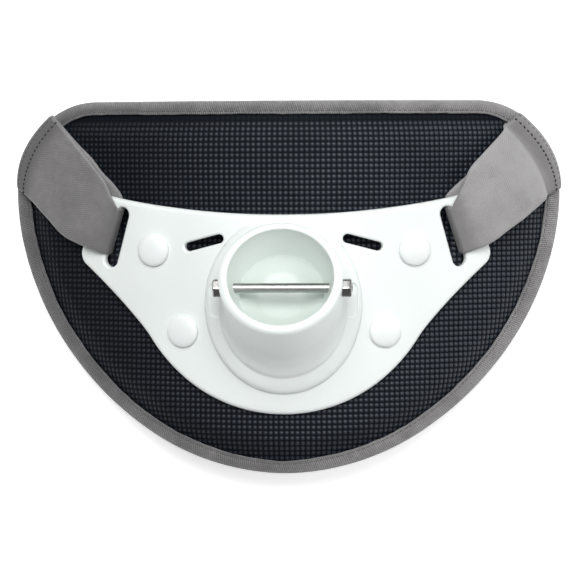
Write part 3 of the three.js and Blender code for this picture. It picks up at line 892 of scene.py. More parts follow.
@dataclass
class PadCushion:
    """Padded panel: an embossed cover over foam, rolled down to a thin edge, and a plain back."""

    waist: WaistCurve
    outline: PadOutline
    cover: EmbossedCover
    back: BackingCloth
    plate_outline: Array
    thickness: float = 14.0
    edge_thickness: float = 6.0
    roll: float = 13.0
    edge_inset: float = 1.5
    relief: float = 0.42
    groove_share: float = 0.866
    dip: float = 5.0
    cloth_step: float = 5.0
    cloth_frames: int = 20
    pressure: float = 4.0
    stiffness: float = 8.0
    swelling: float = 1.6
    back_shares: tuple[float, ...] = (
        0.0, 0.004, 0.01, 0.02, 0.035, 0.05, 0.062, 0.072, 0.084, 0.098, 0.115, 0.14,
        0.2, 0.3, 0.42, 0.55, 0.68, 0.8, 0.9, 0.97,
    )

    def rise(self, inset: Array, leg: Array) -> Array:
        """Height above mid thickness for an inset from the edge: a quarter ellipse up to the thin
        edge's height under the binding, and a second one over the roll up to the full height.

        Args:
            inset: Distances from the edge.
            leg: The binding's leg there.

        Returns:
            Heights in millimetres.
        """
        across = np.where(
            inset < leg,
            (inset - self.edge_inset) / (leg - self.edge_inset),
            1.0 + (inset - leg) / self.roll,
        ).clip(0.0, 2.0)
        first = np.sqrt(1.0 - (1.0 - (across / 0.4).clip(0.0, 1.0)) ** 2)
        rolled = ((across - 1.04) / 0.96).clip(0.0, 1.0)
        second = 0.4 * np.sqrt(1.0 - (1.0 - rolled) ** 2) + 0.6 * smoothstep(rolled, 0.0, 1.0)
        return first * self.edge_thickness / 2 + second * (self.thickness - self.edge_thickness) / 2

    def puffed(self) -> Callable[[Array], Array]:
        """Swells a coarse sheet of cloth by pressure, held along the binding and under the plate.

        Returns:
            Function that gives the swelling at flat places, in millimetres, scaled to the greatest.
        """
        step = self.cloth_step
        us = np.arange(-self.outline.half_width, self.outline.half_width + step / 2, step)
        vs = np.arange(self.outline.bottom, self.outline.top + step / 2, step)
        u, v = np.meshgrid(us, vs, indexing="ij")
        flat = np.stack([u.ravel(), v.ravel()], axis=1)
        loop = self.outline.loop(600)
        inset = np.where(within(flat, loop), nearest(flat, loop)[0], 0.0)
        plate = self.plate_outline
        beneath = within(flat, plate) & (nearest(flat, plate)[0] > 3.0)
        held = (inset < self.outline.leg + 3.0) | beneath
        grid = np.column_stack([flat, np.zeros(len(flat))]).reshape(len(us), len(vs), 3) / 1000.0
        shell = lattice(grid, grid[..., :2] * 1000.0, False, False)
        sheet = make_object("pad_puff", shell, [])
        group = sheet.vertex_groups.new(name="held")
        group.add(np.flatnonzero(held).tolist(), 1.0, "REPLACE")
        cloth = sheet.modifiers.new("puff", "CLOTH")
        cloth.settings.vertex_group_mass = group.name
        cloth.settings.use_pressure = True
        cloth.settings.uniform_pressure_force = self.pressure
        cloth.settings.effector_weights.gravity = 0.0
        cloth.settings.tension_stiffness = self.stiffness
        cloth.point_cache.frame_start, cloth.point_cache.frame_end = 1, self.cloth_frames
        for frame in range(1, self.cloth_frames + 1):
            bpy.context.scene.frame_set(frame)
        shape = sheet.evaluated_get(bpy.context.evaluated_depsgraph_get()).to_mesh()
        places = np.empty(len(shape.vertices) * 3, dtype=np.float32)
        shape.vertices.foreach_get("co", places)
        rise = np.abs(places.reshape(len(us), len(vs), 3)[..., 2]) * 1000.0
        bpy.context.scene.frame_set(1)
        bpy.data.objects.remove(sheet)
        LOG.info("cloth swelled by %.2f mm before its cap", rise.max())
        rise *= self.swelling / max(rise.max(), 1e-6)

        def swelling(places: Array) -> Array:
            """Swelling between the sheet's corners, eased both ways along 3t² − 2t³.

            Args:
                places: Places across and up.

            Returns:
                Heights in millimetres.
            """
            a = np.clip((places[:, 0] - us[0]) / step, 0, len(us) - 1.001)
            b = np.clip((places[:, 1] - vs[0]) / step, 0, len(vs) - 1.001)
            i, j = a.astype(int), b.astype(int)
            a, b = a - i, b - j
            a, b = a * a * (3 - 2 * a), b * b * (3 - 2 * b)
            near = rise[i, j] * (1 - b) + rise[i, j + 1] * b
            far = rise[i + 1, j] * (1 - b) + rise[i + 1, j + 1] * b
            return near * (1 - a) + far * a

        return swelling

    def waves(self, flat: Array, inset: Array) -> Array:
        """Slight waves of the foam between the binding and the plate, in millimetres.

        Args:
            flat: Places across and up.
            inset: Their distances from the edge.

        Returns:
            Heights in millimetres.
        """
        u, v = flat.T
        waves = 0.34 * np.sin(u / 17.0 + 1.3) * np.sin(v / 14.0 + 0.4)
        waves += 0.22 * np.sin((u + 1.4 * v) / 9.5 + 2.1) * np.sin((u - 0.6 * v) / 21.0)
        waves -= 1.1 * mound(flat, (141.0, 22.0), (9.0, 12.0))
        waves -= 0.8 * mound(flat, (-148.0, 12.0), (7.0, 15.0))
        return waves * smoothstep(inset, 12.0, 24.0)

    def dips(self, flat: Array, inset: Array) -> Array:
        """Hollows where the cover is drawn down below the plate's slots, in millimetres.

        Args:
            flat: Places across and up.
            inset: Their distances from the edge.

        Returns:
            Heights in millimetres.
        """
        either = flat * np.stack([np.sign(flat[:, 0]), np.ones(len(flat))], axis=1)
        vents = mound(either, (42.6, 23.9), (12.0, 6.0), 4)
        slots = mound(either, (92.0, 26.3), (7.0, 15.0), 4)
        return -self.dip * (vents + slots) * smoothstep(inset, 12.0, 24.0)

    def front_level(self, flat: Array, loop: Array, legs: Array) -> Array:
        """Level of the front face: mid thickness, the rise, the waves and the embossed domes,
        whose height is the product of both directions' groove steps.

        Args:
            flat: Places across and up.
            loop: The outline.
            legs: The binding's leg at its corners.

        Returns:
            Levels in the flat layout.
        """
        inset, corner = nearest(flat, loop)
        leg = legs[corner]
        phase = np.abs(np.sin(np.pi * flat / self.cover.pitch)) / self.groove_share
        dome = phase.clip(0.0, 1.0).prod(axis=1)
        top = smoothstep(flat[:, 1], 80.0, 92.0)
        reach = smoothstep((inset - leg - 0.8 - 2.8 * top) / (1.6 + 2.6 * top), 0.0, 1.0)
        level = self.thickness / 2 + self.rise(inset, leg) + self.waves(flat, inset)
        level += self.dips(flat, inset)
        level += self.puffed()(flat)
        return level - 0.25 * reach + self.relief * reach * dome

    def shell(self) -> Shell:
        """Closed shell: front rows cut to the outline, then rings over the back to its middle.

        Returns:
            The shell in the frame.
        """
        loop = self.outline.loop(1000)
        legs = self.outline.legs(loop_normals(loop))
        inner = loop + loop_normals(loop) * self.edge_inset
        right = inner[inner[:, 0] >= 0.0]
        right = right[np.lexsort((right[:, 0], right[:, 1]))]
        step = self.cover.pitch / 3.0
        low, high = inner[:, 1].min(), inner[:, 1].max()
        ends = np.array([0.0, 0.06, 0.25, 0.55])
        whole = np.arange(math.ceil((low + 0.7) / step), math.floor((high - 0.7) / step) + 1) * step
        rows = np.concatenate([low + ends, whole, high - ends[::-1]])
        half = np.interp(rows, right[:, 1], right[:, 0])
        half[0] = 0.0
        half[-1] = self.outline.half_width - (self.outline.top - self.outline.widest_line)
        middle = math.ceil(inner[:, 0].max() / step)
        columns = np.arange(-middle, middle + 1) * step
        first = (columns[None, :] <= -half[:, None] + 1e-9).sum(axis=1) - 1
        last = len(columns) - (columns[None, :] >= half[:, None] - 1e-9).sum(axis=1)
        j, i = np.meshgrid(np.arange(len(rows)), np.arange(len(columns)), indexing="ij")
        kept = (i >= first[:, None]) & (i <= last[:, None])
        number = np.cumsum(kept.ravel()).reshape(kept.shape) - 1
        corner = number[j, np.clip(i, first[:, None], last[:, None])]
        u = np.clip(columns[i], -half[:, None], half[:, None])
        flat = np.stack([u[kept], rows[j][kept]], axis=1)
        level = self.front_level(flat, loop, legs)
        a, b, c, d = corner[:-1, :-1], corner[:-1, 1:], corner[1:, 1:], corner[1:, :-1]
        whole_faces = (a != b) & (d != c)
        quads = np.stack([a, b, c, d], axis=-1)[whole_faces]
        lower = np.stack([a, b, c], axis=-1)[(a != b) & (d == c)]
        upper = np.stack([a, c, d], axis=-1)[(a == b) & (d != c)]
        edge = np.concatenate(
            [
                number[np.arange(len(rows)), last],
                number[-1, last[-1] - 1 : first[-1] : -1],
                number[np.arange(len(rows))[::-1][:-1], first[::-1][:-1]],
            ]
        )
        shares = np.array(self.back_shares)[1:, None, None]
        rings = flat[edge][None] * (1.0 - shares)
        around = rings.reshape(-1, 2)
        inset, close = nearest(around, loop)
        smooth = self.thickness / 2 - self.rise(inset, legs[close])
        smooth += 0.5 * self.waves(around, inset)
        back = np.column_stack([around, smooth])
        points = np.vstack([np.column_stack([flat, level]), back, [[0.0, 0.0, 0.0]]])
        ring = np.vstack([edge, len(flat) + np.arange(len(around)).reshape(-1, len(edge))])
        fan = np.stack([ring[-1], np.roll(ring[-1], -1), np.full(len(edge), len(points) - 1)], axis=1)
        faces = [quads, lower, upper, ring_bands(ring)[:, ::-1], fan[:, ::-1]]
        shell = Shell(points, faces, [points[block][:, :, :2] for block in faces], [0, 0, 0, 1, 1])
        return shell.placed(self.waist.lay).outward()

    def build(self) -> bpy.types.Object:
        """The panel as one padded piece.

        Returns:
            The piece.
        """
        made = make_object("pad_panel", self.shell(), [self.cover.make(), self.back.make()], 60.0)
        settled(made, "pad_cover", "pad_cushion")
        return made


@dataclass
class Stitches:
    """Row of small sewn stitches, each a short closed spindle."""

    length: float = 2.3
    width: float = 0.55
    height: float = 0.3

    def shell(self, centres: Array, along: Array, up: Array) -> Shell:
        """Spindles whose section shrinks to a point at both ends, as the root of
        1 − s⁴ at a share s of half their length.

        Args:
            centres: Middles, in millimetres of the belt.
            along: Unit directions of the stitches.
            up: Unit normals of the cloth.

        Returns:
            One shell of them all, still in millimetres of the belt.
        """
        shares = np.array([-1.0, -0.8, -0.3, 0.3, 0.8, 1.0])
        angle = turns(5)
        girth = np.sqrt(np.clip(1.0 - shares**4, 0.012, 1.0))
        side = np.cross(up, along)
        offsets = (
            shares[None, :, None, None] * along[:, None, None, :] * self.length / 2
            + (girth[:, None] * np.cos(angle))[None, :, :, None] * side[:, None, None, :] * self.width / 2
            + (girth[:, None] * np.sin(angle))[None, :, :, None] * up[:, None, None, :] * self.height
        )
        grids = centres[:, None, None, :] + offsets
        rows, columns = len(shares), len(angle)
        places = crossed(shares * self.length / 2, np.arange(columns + 1) * 0.3)
        base = lattice(np.zeros((rows, columns, 3)), places, False, True)
        caps = np.array([[0, 1, 2], [0, 2, 3], [0, 3, 4]])
        caps = np.vstack([caps[:, ::-1], caps + (rows - 1) * columns])
        starts = (np.arange(len(centres)) * rows * columns)[:, None, None]
        quads = (base.faces[0][None] + starts).reshape(-1, 4)
        ends = (caps[None] + starts).reshape(-1, 3)
        uv = np.tile(base.uvs[0], (len(centres), 1, 1))
        made = Shell(grids.reshape(-1, 3), [quads, ends], [uv, np.zeros((len(ends), 3, 2))], [0, 0])
        return made.outward()


@dataclass
class EdgeBinding:
    """Woven tape folded over the panel's edge and sewn down near its inner edges."""

    waist: WaistCurve
    outline: PadOutline
    finish: WovenWebbing
    thread: SewingThread
    wall: float = 1.2
    half_inside: float = 3.3
    stations: int = 1250
    stitch_inset: float = 1.5
    stitch_pitch: float = 3.1

    def section(self) -> Array:
        """Rows of the tape's section: share of the leg, extra inset, and level from mid thickness.

        Returns:
            The rows, round the section.
        """
        outside = self.half_inside + self.wall
        front = np.array(
            [
                [1.0, 0.0, self.half_inside + 0.1],
                [1.0, 0.16, outside - 0.55],
                [1.0, 0.05, outside - 0.12],
                [1.0, -0.35, outside + 0.03],
                [1.0, -1.0, outside - 0.08],
                [1.0, -1.5, outside - 0.3],
                [1.0, -2.0, outside - 0.1],
                [1.0, -2.8, outside + 0.14],
                [0.55, 0.0, outside + 0.16],
                [0.3, 0.6, outside - 0.15],
                [0.0, 2.0, outside - 0.72],
                [0.0, 1.15, outside - 1.4],
                [0.0, 0.5, outside - 2.3],
                [0.0, 0.12, outside - 3.3],
                [0.0, 0.0, 0.0],
            ]
        )
        back = front[:-1][::-1] * np.array([1.0, 1.0, -1.0])
        inner = np.array(
            [
                [0.5, 0.0, -self.half_inside],
                [0.0, 2.4, -self.half_inside],
                [0.0, 1.25, -self.half_inside + 1.3],
                [0.0, 1.25, self.half_inside - 1.3],
                [0.0, 2.4, self.half_inside],
                [0.5, 0.0, self.half_inside],
            ]
        )
        return np.vstack([front, back, inner])

    def sweep(self, loop: Array, legs: Array, rows: Array) -> Array:
        """Places of section rows at every station: in from the outline along its normal.

        Args:
            loop: Stations on the outline.
            legs: Leg width at each station.
            rows: Section rows.

        Returns:
            Grid of rows × stations in the flat layout.
        """
        inset = rows[:, :1] * legs[None, :] + rows[:, 1:2]
        flat = loop[None] + loop_normals(loop)[None] * inset[..., None]
        level = self.waist.pad_thickness / 2 + np.repeat(rows[:, 2:3], len(loop), axis=1)
        return np.concatenate([flat, level[..., None]], axis=-1)

    def build(self) -> list[bpy.types.Object]:
        """The tape as a closed ring, and its stitches.

        Returns:
            The tape and its stitches.
        """
        loop = self.outline.loop(self.stations)
        run = np.arange(self.stations + 1) * PERIMETER / self.stations
        sines = [(0.1, 80.0, 0.3), (0.07, 35.2, 1.9), (0.06, 16.0, 0.8), (0.05, 8.8, 2.2)]
        wobble = ripple(run[:-1], sines)
        legs = self.outline.legs(loop_normals(loop)) + wobble
        rows = self.section()
        flat = self.sweep(loop, legs, rows)
        puff = ripple(run[:-1], [(0.1, 55.0, 1.0), (0.08, 22.0, 0.2), (0.05, 11.0, 1.4)])
        crown = np.sin(np.pi * smoothstep(np.abs(rows[:, 2]), 2.0, 4.9)) + 0.4
        flat[..., 2] += puff[None] * (crown * np.sign(rows[:, 2]))[:, None]
        width = run_along(flat[:, 0])
        middle, closing = width[2 * len(rows) // 3] / 2, width[-1] + 4.0
        uv = crossed(np.append(width, closing) - middle, run)[..., ::-1]
        shell = lattice(self.waist.lay(flat), uv, True, True).outward()
        tape = make_object("edge_tape", shell, [self.finish.make()], 70.0)
        settled(tape, "binding_tape", "edge_binding")
        seam = self.outline.loop(round(PERIMETER / self.stitch_pitch))
        row = np.array([[1.0, -self.stitch_inset, self.half_inside + self.wall - 0.22]])
        place = self.sweep(seam, self.outline.legs(loop_normals(seam)), row)[0]
        centres = self.waist.bend(place)
        sewn = Stitches(2.2, 0.5, 0.26).shell(centres, unit(passing(centres)), self.waist.upright(place))
        thread = make_object("binding_stitches", sewn.placed(self.waist.stand), [self.thread.make()], 60.0)
        return [tape, settled(thread, "binding_tape")]


@dataclass
class StrapCut:
    """Where one strap's layers run, as rows of share from the sewn end to the slot, the upper and
    lower edges' places across and up, and the level. The sewn end bows out to the rim's middle. The
    layers bulge and twist by so many millimetres, the stitches lean by up to the slack, and the
    inner row of stitches lies at the hem's share."""

    side: Side
    front: Array
    under: Array
    rim_middle: tuple[float, float]
    bulge: float
    twist: float
    slack: float
    hem: float


FRONT_LEFT = np.array(
    [
        # share, upper u, upper v, lower u, lower v, level
        [0.00, 137.2, 93.2, 160.4, 52.0, 14.1],
        [0.06, 134.6, 90.6, 157.4, 50.2, 14.2],
        [0.12, 131.0, 87.8, 153.8, 47.8, 15.1],
        [0.22, 123.4, 81.6, 147.2, 44.0, 17.9],
        [0.38, 114.4, 73.6, 136.8, 35.8, 20.6],
        [0.56, 105.6, 65.2, 125.0, 26.6, 22.6],
        [0.72, 98.4, 58.0, 115.4, 22.6, 24.2],
        [0.86, 94.0, 50.0, 107.5, 20.0, 24.3],
        [0.95, 92.3, 45.0, 102.2, 17.8, 22.7],
        [1.00, 91.7, 42.6, 99.9, 17.0, 21.2],
    ]
)
FRONT_RIGHT = np.array(
    [
        [0.00, 135.8, 93.2, 161.9, 51.2, 13.6],
        [0.06, 132.8, 90.8, 159.2, 50.0, 14.4],
        [0.10, 130.0, 88.6, 156.6, 48.8, 14.0],
        [0.135, 127.1, 87.2, 154.2, 47.5, 13.1],
        [0.185, 124.4, 84.3, 150.6, 45.7, 18.2],
        [0.24, 120.8, 81.4, 147.2, 43.8, 20.6],
        [0.32, 116.4, 77.8, 142.2, 40.6, 22.3],
        [0.42, 111.8, 74.0, 136.2, 36.6, 23.4],
        [0.56, 105.6, 69.0, 125.8, 30.2, 24.8],
        [0.70, 99.0, 61.6, 115.4, 23.8, 25.6],
        [0.80, 96.0, 54.0, 109.8, 20.8, 25.0],
        [0.88, 94.0, 49.0, 105.6, 19.2, 23.6],
        [0.95, 92.5, 45.0, 102.2, 17.8, 22.0],
        [1.00, 91.7, 42.6, 99.9, 17.0, 21.1],
    ]
)
UNDER_LEFT = np.array(
    [
        [0.00, 137.0, 92.9, 160.0, 52.0, 12.5],
        [0.08, 132.6, 88.6, 156.0, 49.4, 12.6],
        [0.22, 121.6, 79.0, 146.0, 43.6, 15.0],
        [0.40, 111.8, 70.4, 134.4, 35.0, 15.3],
        [0.60, 104.2, 61.8, 121.6, 27.2, 15.3],
        [0.80, 96.0, 54.0, 109.6, 21.4, 15.25],
        [0.90, 92.0, 48.8, 104.6, 18.8, 15.25],
        [1.00, 91.4, 43.2, 99.8, 16.8, 15.25],
    ]
)
UNDER_RIGHT = np.array(
    [
        [0.00, 135.8, 92.9, 161.5, 51.2, 12.5],
        [0.08, 133.4, 86.6, 157.4, 49.4, 12.4],
        [0.15, 128.0, 82.0, 152.0, 46.8, 11.3],
        [0.24, 121.6, 76.4, 145.4, 43.4, 14.2],
        [0.40, 111.8, 68.2, 135.6, 37.0, 15.4],
        [0.60, 103.4, 59.6, 121.6, 28.6, 15.3],
        [0.80, 94.6, 52.4, 109.6, 21.6, 15.25],
        [0.90, 90.8, 48.4, 104.6, 18.8, 15.25],
        [1.00, 90.8, 43.4, 99.8, 16.8, 15.25],
    ]
)


@dataclass
class WebbingStrap:
    """Webbing sewn to the panel's upper corner, laid over the plate's wing, folded through its
    slot and brought back underneath to the same seam."""

    waist: WaistCurve
    cut: StrapCut
    finish: WovenWebbing
    thread: SewingThread
    thickness: float = 1.5
    half_width: float = 19.0
    fold_reach: tuple[float, float] = (0.7, 1.5)
    slot_lean: float = math.radians(106.5)
    across: int = 33
    under_share: float = 0.35

    def place(self, table: Array, shares: Array, across: Array) -> Array:
        """Grid over one layer: the middle and half width follow the table, and near the sewn end
        the edge bows out to the panel's round corner.

        Args:
            table: Rows of a layer.
            shares: Stations from the sewn end to the slot.
            across: Places from −1 at the lower edge to 1 at the upper.

        Returns:
            Grid of stations × across in the flat layout, for the right side.
        """
        values = through(table[:, 0], table[:, 1:], shares)
        upper, lower, level = values[:, 0:2], values[:, 2:4], values[:, 4]
        middle, half = (upper + lower) / 2, (upper - lower) / 2
        low, high = table[0, 3:5], table[0, 1:3]
        outwards = np.array(self.cut.rim_middle) - (low + high) / 2
        bow = (1 - across**2)[None, :, None] * outwards * ((1 - shares) ** 2)[:, None, None]
        flat = middle[:, None] + half[:, None] * across[None, :, None] + bow
        hump = np.sin(np.pi * smoothstep(shares, 0.08, 1.0)) ** 0.8
        swell = self.cut.bulge * hump[:, None] * (1.0 - across[None] ** 2)
        sway = self.cut.twist * hump[:, None] * across[None]
        layer = self.under_share if table is self.cut.under else 1.0
        phase = 1.1 * self.cut.side.value
        creases = 0.3 * np.sin(shares[:, None] * 21.0 + across[None] * 2.4 + phase)
        creases += 0.22 * np.sin(shares[:, None] * 9.0 - across[None] * 6.5 + 2.0 * phase)
        creases += 0.12 * np.sin(shares[:, None] * 33.0 - across[None] * 4.0 + 0.7)
        heights = level[:, None] + layer * (swell + sway + creases * hump[:, None])
        return np.concatenate([flat, heights[..., None]], axis=-1)

    def loop(self) -> Array:
        """Stations round the closed ribbon: front layer, fold in the slot, under layer, and the
        turn at the sewn end.

        Returns:
            Grid of stations × across in the flat layout.
        """
        across = np.linspace(-1.0, 1.0, self.across)
        front = self.place(self.cut.front, np.linspace(0.0, 1.0, 64), across)
        under = self.place(self.cut.under, np.linspace(1.0, 0.0, 44), across)
        turn = np.radians(np.linspace(20.0, 160.0, 8))[:, None]
        side = np.array([math.sin(self.slot_lean), -math.cos(self.slot_lean)])
        start, end = front[-1], under[0]
        fold = np.empty((len(turn), self.across, 3))
        blend = (1 - np.cos(turn)) / 2
        reach = np.interp(across, (-1.0, 1.0), self.fold_reach)
        fold[..., :2] = (
            start[None, :, :2] * (1 - blend[..., None])
            + end[None, :, :2] * blend[..., None]
            - side * reach[:, None] * np.sin(turn)[..., None]
        )
        fold[..., 2] = start[:, 2] * (1 - blend) + end[:, 2] * blend
        back, forth = under[-1], front[0]
        angle = np.radians(np.linspace(30.0, 150.0, 4))[:, None, None]
        outwards = unit(back[None, :, :2] - under[-3][None, :, :2])
        hairpin = np.concatenate(
            [
                back[None, :, :2] + 0.8 * outwards * np.sin(angle),
                (back[None, :, 2:] + forth[None, :, 2:]) / 2
                - (forth[None, :, 2:] - back[None, :, 2:]) / 2 * np.cos(angle),
            ],
            axis=-1,
        )
        flat = np.concatenate([front, fold, under, hairpin])
        flat[..., 0] *= self.cut.side.value
        return flat

    def shell(self) -> Shell:
        """Closed ribbon: the loop's grid moved half a thickness both ways along its normals, with
        rounded selvedges.

        Returns:
            The shell in the frame.
        """
        middle = self.waist.bend(self.loop())
        along = passing(middle)
        normal = unit(np.cross(along, np.gradient(middle, axis=1)))
        across = np.linspace(-1.0, 1.0, self.across)
        wall = self.thickness / 2 * (1.0 - 0.75 * np.abs(across) ** 30)
        wall += 0.12 * np.exp(-(((np.abs(across) - 0.93) / 0.035) ** 2))
        top, bottom = middle + normal * wall[:, None], middle - normal * wall[:, None]
        ring = np.concatenate([top, bottom[:, ::-1]], axis=1)
        steps = np.linalg.norm(along, axis=-1).mean(axis=1) / 2
        run = np.concatenate([[0.0], np.cumsum(steps)])
        width = np.concatenate([across, 2.0 + across, [3.05]]) * self.half_width
        return lattice(self.waist.stand(ring), crossed(run, width), True, True).outward()

    def seam(self, inset: float, count: int) -> tuple[Array, Array, Array]:
        """Places, directions and normals of stitches along the sewn end.

        Args:
            inset: Share of the strap's run from its end.
            count: How many stitches.

        Returns:
            Middles, unit directions and unit normals, in the belt.
        """
        across, fine = np.linspace(-0.96, 0.96, count), np.linspace(-1, 1, 97)
        flat = self.place(self.cut.front, np.array([0.0, inset, inset + 0.02]), fine)
        rows = np.stack([[np.interp(across, fine, row[:, k]) for k in range(3)] for row in flat])
        rows = rows.transpose(0, 2, 1)
        rows[..., 0] *= self.cut.side.value
        centres, beyond = self.waist.bend(rows[1]), self.waist.bend(rows[2])
        loose = self.cut.slack * np.sin(np.arange(count) * 2.4 + inset * 90.0)
        along = unit(unit(np.gradient(centres, axis=0)) + unit(beyond - centres) * loose[:, None])
        up = unit(np.cross(beyond - centres, along))
        up *= np.sign((up * self.waist.upright(rows[1])).sum(axis=1))[:, None]
        return centres + up * (self.thickness / 2 + 0.02), along, up

    def build(self) -> list[bpy.types.Object]:
        """The strap and its two rows of stitches.

        Returns:
            The strap and its stitches.
        """
        label = self.cut.side.name.lower()
        strap = make_object(f"webbing_{label}", self.shell(), [self.finish.make()], 75.0)
        settled(strap, "webbing", f"strap_{label}")
        edge_row = Stitches(1.3, 0.36, 0.16).shell(*self.seam(0.012, 17))
        inner_row = Stitches(1.7, 0.9, 0.45).shell(*self.seam(self.cut.hem, 18))
        sewn = edge_row.joined(inner_row).placed(self.waist.stand)
        thread = make_object(f"strap_stitches_{label}", sewn, [self.thread.make()], 60.0)
        return [strap, settled(thread, "webbing")]


@dataclass
class GimbalMoulding:
    """One moulding: winged plate with four slots, a low flange, and the tilted rod cup on it.

    A slot is given by its middle across and up, length, width and lean in degrees. The relief beside
    the cup has a middle, half sizes and a corner radius, and the well under the cup has half sizes
    and a depth.
    """

    waist: WaistCurve
    finishes: tuple[MouldedPlastic, ...]
    thickness: float = 4.0
    front_round: float = 2.3
    back_round: float = 0.8
    seat_level: float = 14.5
    wing_lift: float = 2.0
    lift_start: float = 54.3
    lift_end: float = 85.0
    flange_centre: float = -9.4
    flange_radius: float = 41.8
    flange_height: float = 3.7
    flange_round: float = 3.3
    cup_tilt: float = math.radians(30.0)
    cup_foot: float = -8.3
    cup_length: float = 33.2
    cup_radius: float = 32.8
    cup_draft: float = math.radians(2.4)
    lip_round: float = 2.8
    lip_inner: float = 1.2
    bore_rim: float = 28.0
    bore_floor: float = 22.5
    bore_depth: float = 26.2
    seat_radius: float = 12.5
    foot_fillet: float = 1.1
    waisting: float = 7.6
    strap_slot: tuple[float, ...] = (93.0, 26.3, 34.0, 8.0, 106.5)
    vent_slot: tuple[float, ...] = (42.6, 23.9, 22.0, 4.9, -15.0)
    recess: tuple[float, ...] = (35.5, -6.9, 3.4, 9.5, 3.2)
    recess_depth: float = 0.8
    well: tuple[float, float, float] = (33.6, 38.8, 6.0)
    top: float = 39.2
    shoulder: tuple[float, float] = (100.5, 49.5)
    corner: float = 5.0
    tip: tuple[float, float] = (108.0, 17.0)
    tip_radius: float = 8.0
    flare: float = 15.5
    bowl_centre: float = 16.7
    bowl_radius: float = 86.0
    bowl_start: float = -32.0
    spacing: float = 3.1

    def level(self, u: Array) -> Array:
        """Level of the plate's back, lifted at the wings for the webbing."""
        return self.seat_level + self.wing_lift * smoothstep(np.abs(u), self.lift_start, self.lift_end)

    def outline(self) -> Array:
        """Clockwise outline: hollow top, shoulders, wing tips, flares and a round bowl below.

        Returns:
            The outline's corners.
        """
        middle, start = (0.0, self.bowl_centre), math.radians(self.bowl_start)
        join = np.array([math.cos(start), math.sin(start)]) * self.bowl_radius + middle
        tangent = np.array([-math.sin(start), math.cos(start)])
        tip = arc(self.tip, self.tip_radius, 22.0, -53.0, 24)
        reach, height = self.shoulder
        ends = np.array([[0.0, self.top], [reach / 2, self.top], [reach, height]])
        right = np.vstack(
            [
                quadratic(*ends, 60),
                arc((reach, height - self.corner), self.corner, 84.0, 22.0, 16),
                tip,
                quadratic(tip[-1], join + self.flare * tangent, join, 40)[1:],
                arc(middle, self.bowl_radius, self.bowl_start - 1.0, -90.0, 80),
            ]
        )
        return evenly(both_halves(right), 420, True)

    def stadium(self, slot: tuple[float, ...], side: int, grow: float, count: int) -> Array:
        """Clockwise loop round a slot with half-round ends, grown by an amount.

        Args:
            slot: Middle across and up, length, width and lean in degrees.
            side: 1 for the right, −1 for the left.
            grow: How far outside the slot.
            count: How many corners.

        Returns:
            The loop's corners.
        """
        u, v, length, width, lean = slot
        lean = math.radians(lean if side > 0 else 180.0 - lean)
        radius, straight = width / 2 + grow, (length - width) / 2
        ahead = np.array([math.cos(lean), math.sin(lean)]) * straight
        degrees = math.degrees(lean)
        centre = np.array([side * u, v])
        head, tail = centre + ahead, centre - ahead
        first = arc(tuple(head), radius, degrees + 90, degrees - 90, 40)
        second = arc(tuple(tail), radius, degrees - 90, degrees - 270, 40)
        return evenly(np.vstack([first, second]), count, True)

    def ellipse(self, u: Array, v: Array) -> Array:
        """Distance inside the flange's ellipse, from its own implicit form over its slope.

        Args:
            u: Places across.
            v: Places up.

        Returns:
            Distances, negative outside.
        """
        a, b = self.flange_radius, self.flange_radius / math.cos(self.cup_tilt)
        k = np.sqrt((u / a) ** 2 + ((v - self.flange_centre) / b) ** 2).clip(1e-6)
        slope = np.sqrt((u / a**2) ** 2 + ((v - self.flange_centre) / b**2) ** 2) / k
        return (1.0 - k) / slope.clip(1e-9)

    def recess_inset(self, u: Array, v: Array) -> Array:
        """Distance inside the round-cornered relief beside the cup, on either side.

        Args:
            u: Places across.
            v: Places up.

        Returns:
            Distances, negative outside.
        """
        cu, cv, half_u, half_v, radius = self.recess
        du = np.abs(np.abs(u) - cu) - (half_u - radius)
        dv = np.abs(v - cv) - (half_v - radius)
        outside = np.hypot(du.clip(0.0), dv.clip(0.0)) + np.minimum(np.maximum(du, dv), 0.0)
        return radius - outside

    def relief(self, flat: Array, edge: Array) -> Array:
        """Height over the plate's top: the flange's step with a quarter-round edge, the shallow
        relief cut below each hexagon, and a well where the cup stands, out of sight.

        Args:
            flat: Places across and up.
            edge: Distance to the plate's own edge.

        Returns:
            Heights in millimetres.
        """
        u, v = flat[:, 0], flat[:, 1]
        inside = self.ellipse(u, v)
        wall = (self.flange_height - self.flange_round) * smoothstep(inside, -0.35, 0.05)
        bend = (inside / self.flange_round).clip(0.0, 1.0)
        height = (wall + self.flange_round * np.sqrt(1.0 - (1.0 - bend) ** 2)) * smoothstep(edge, 2.2, 7.0)
        sunk = smoothstep(self.recess_inset(u, v), -0.1, 0.4) * smoothstep(inside, 0.0, 2.0)
        half_u, half_v, depth = self.well
        foot = np.hypot(u / half_u, (v - self.cup_foot) / half_v)
        return height - self.recess_depth * sunk - depth * smoothstep((1.0 - foot) * half_u, 3.0, 6.5)

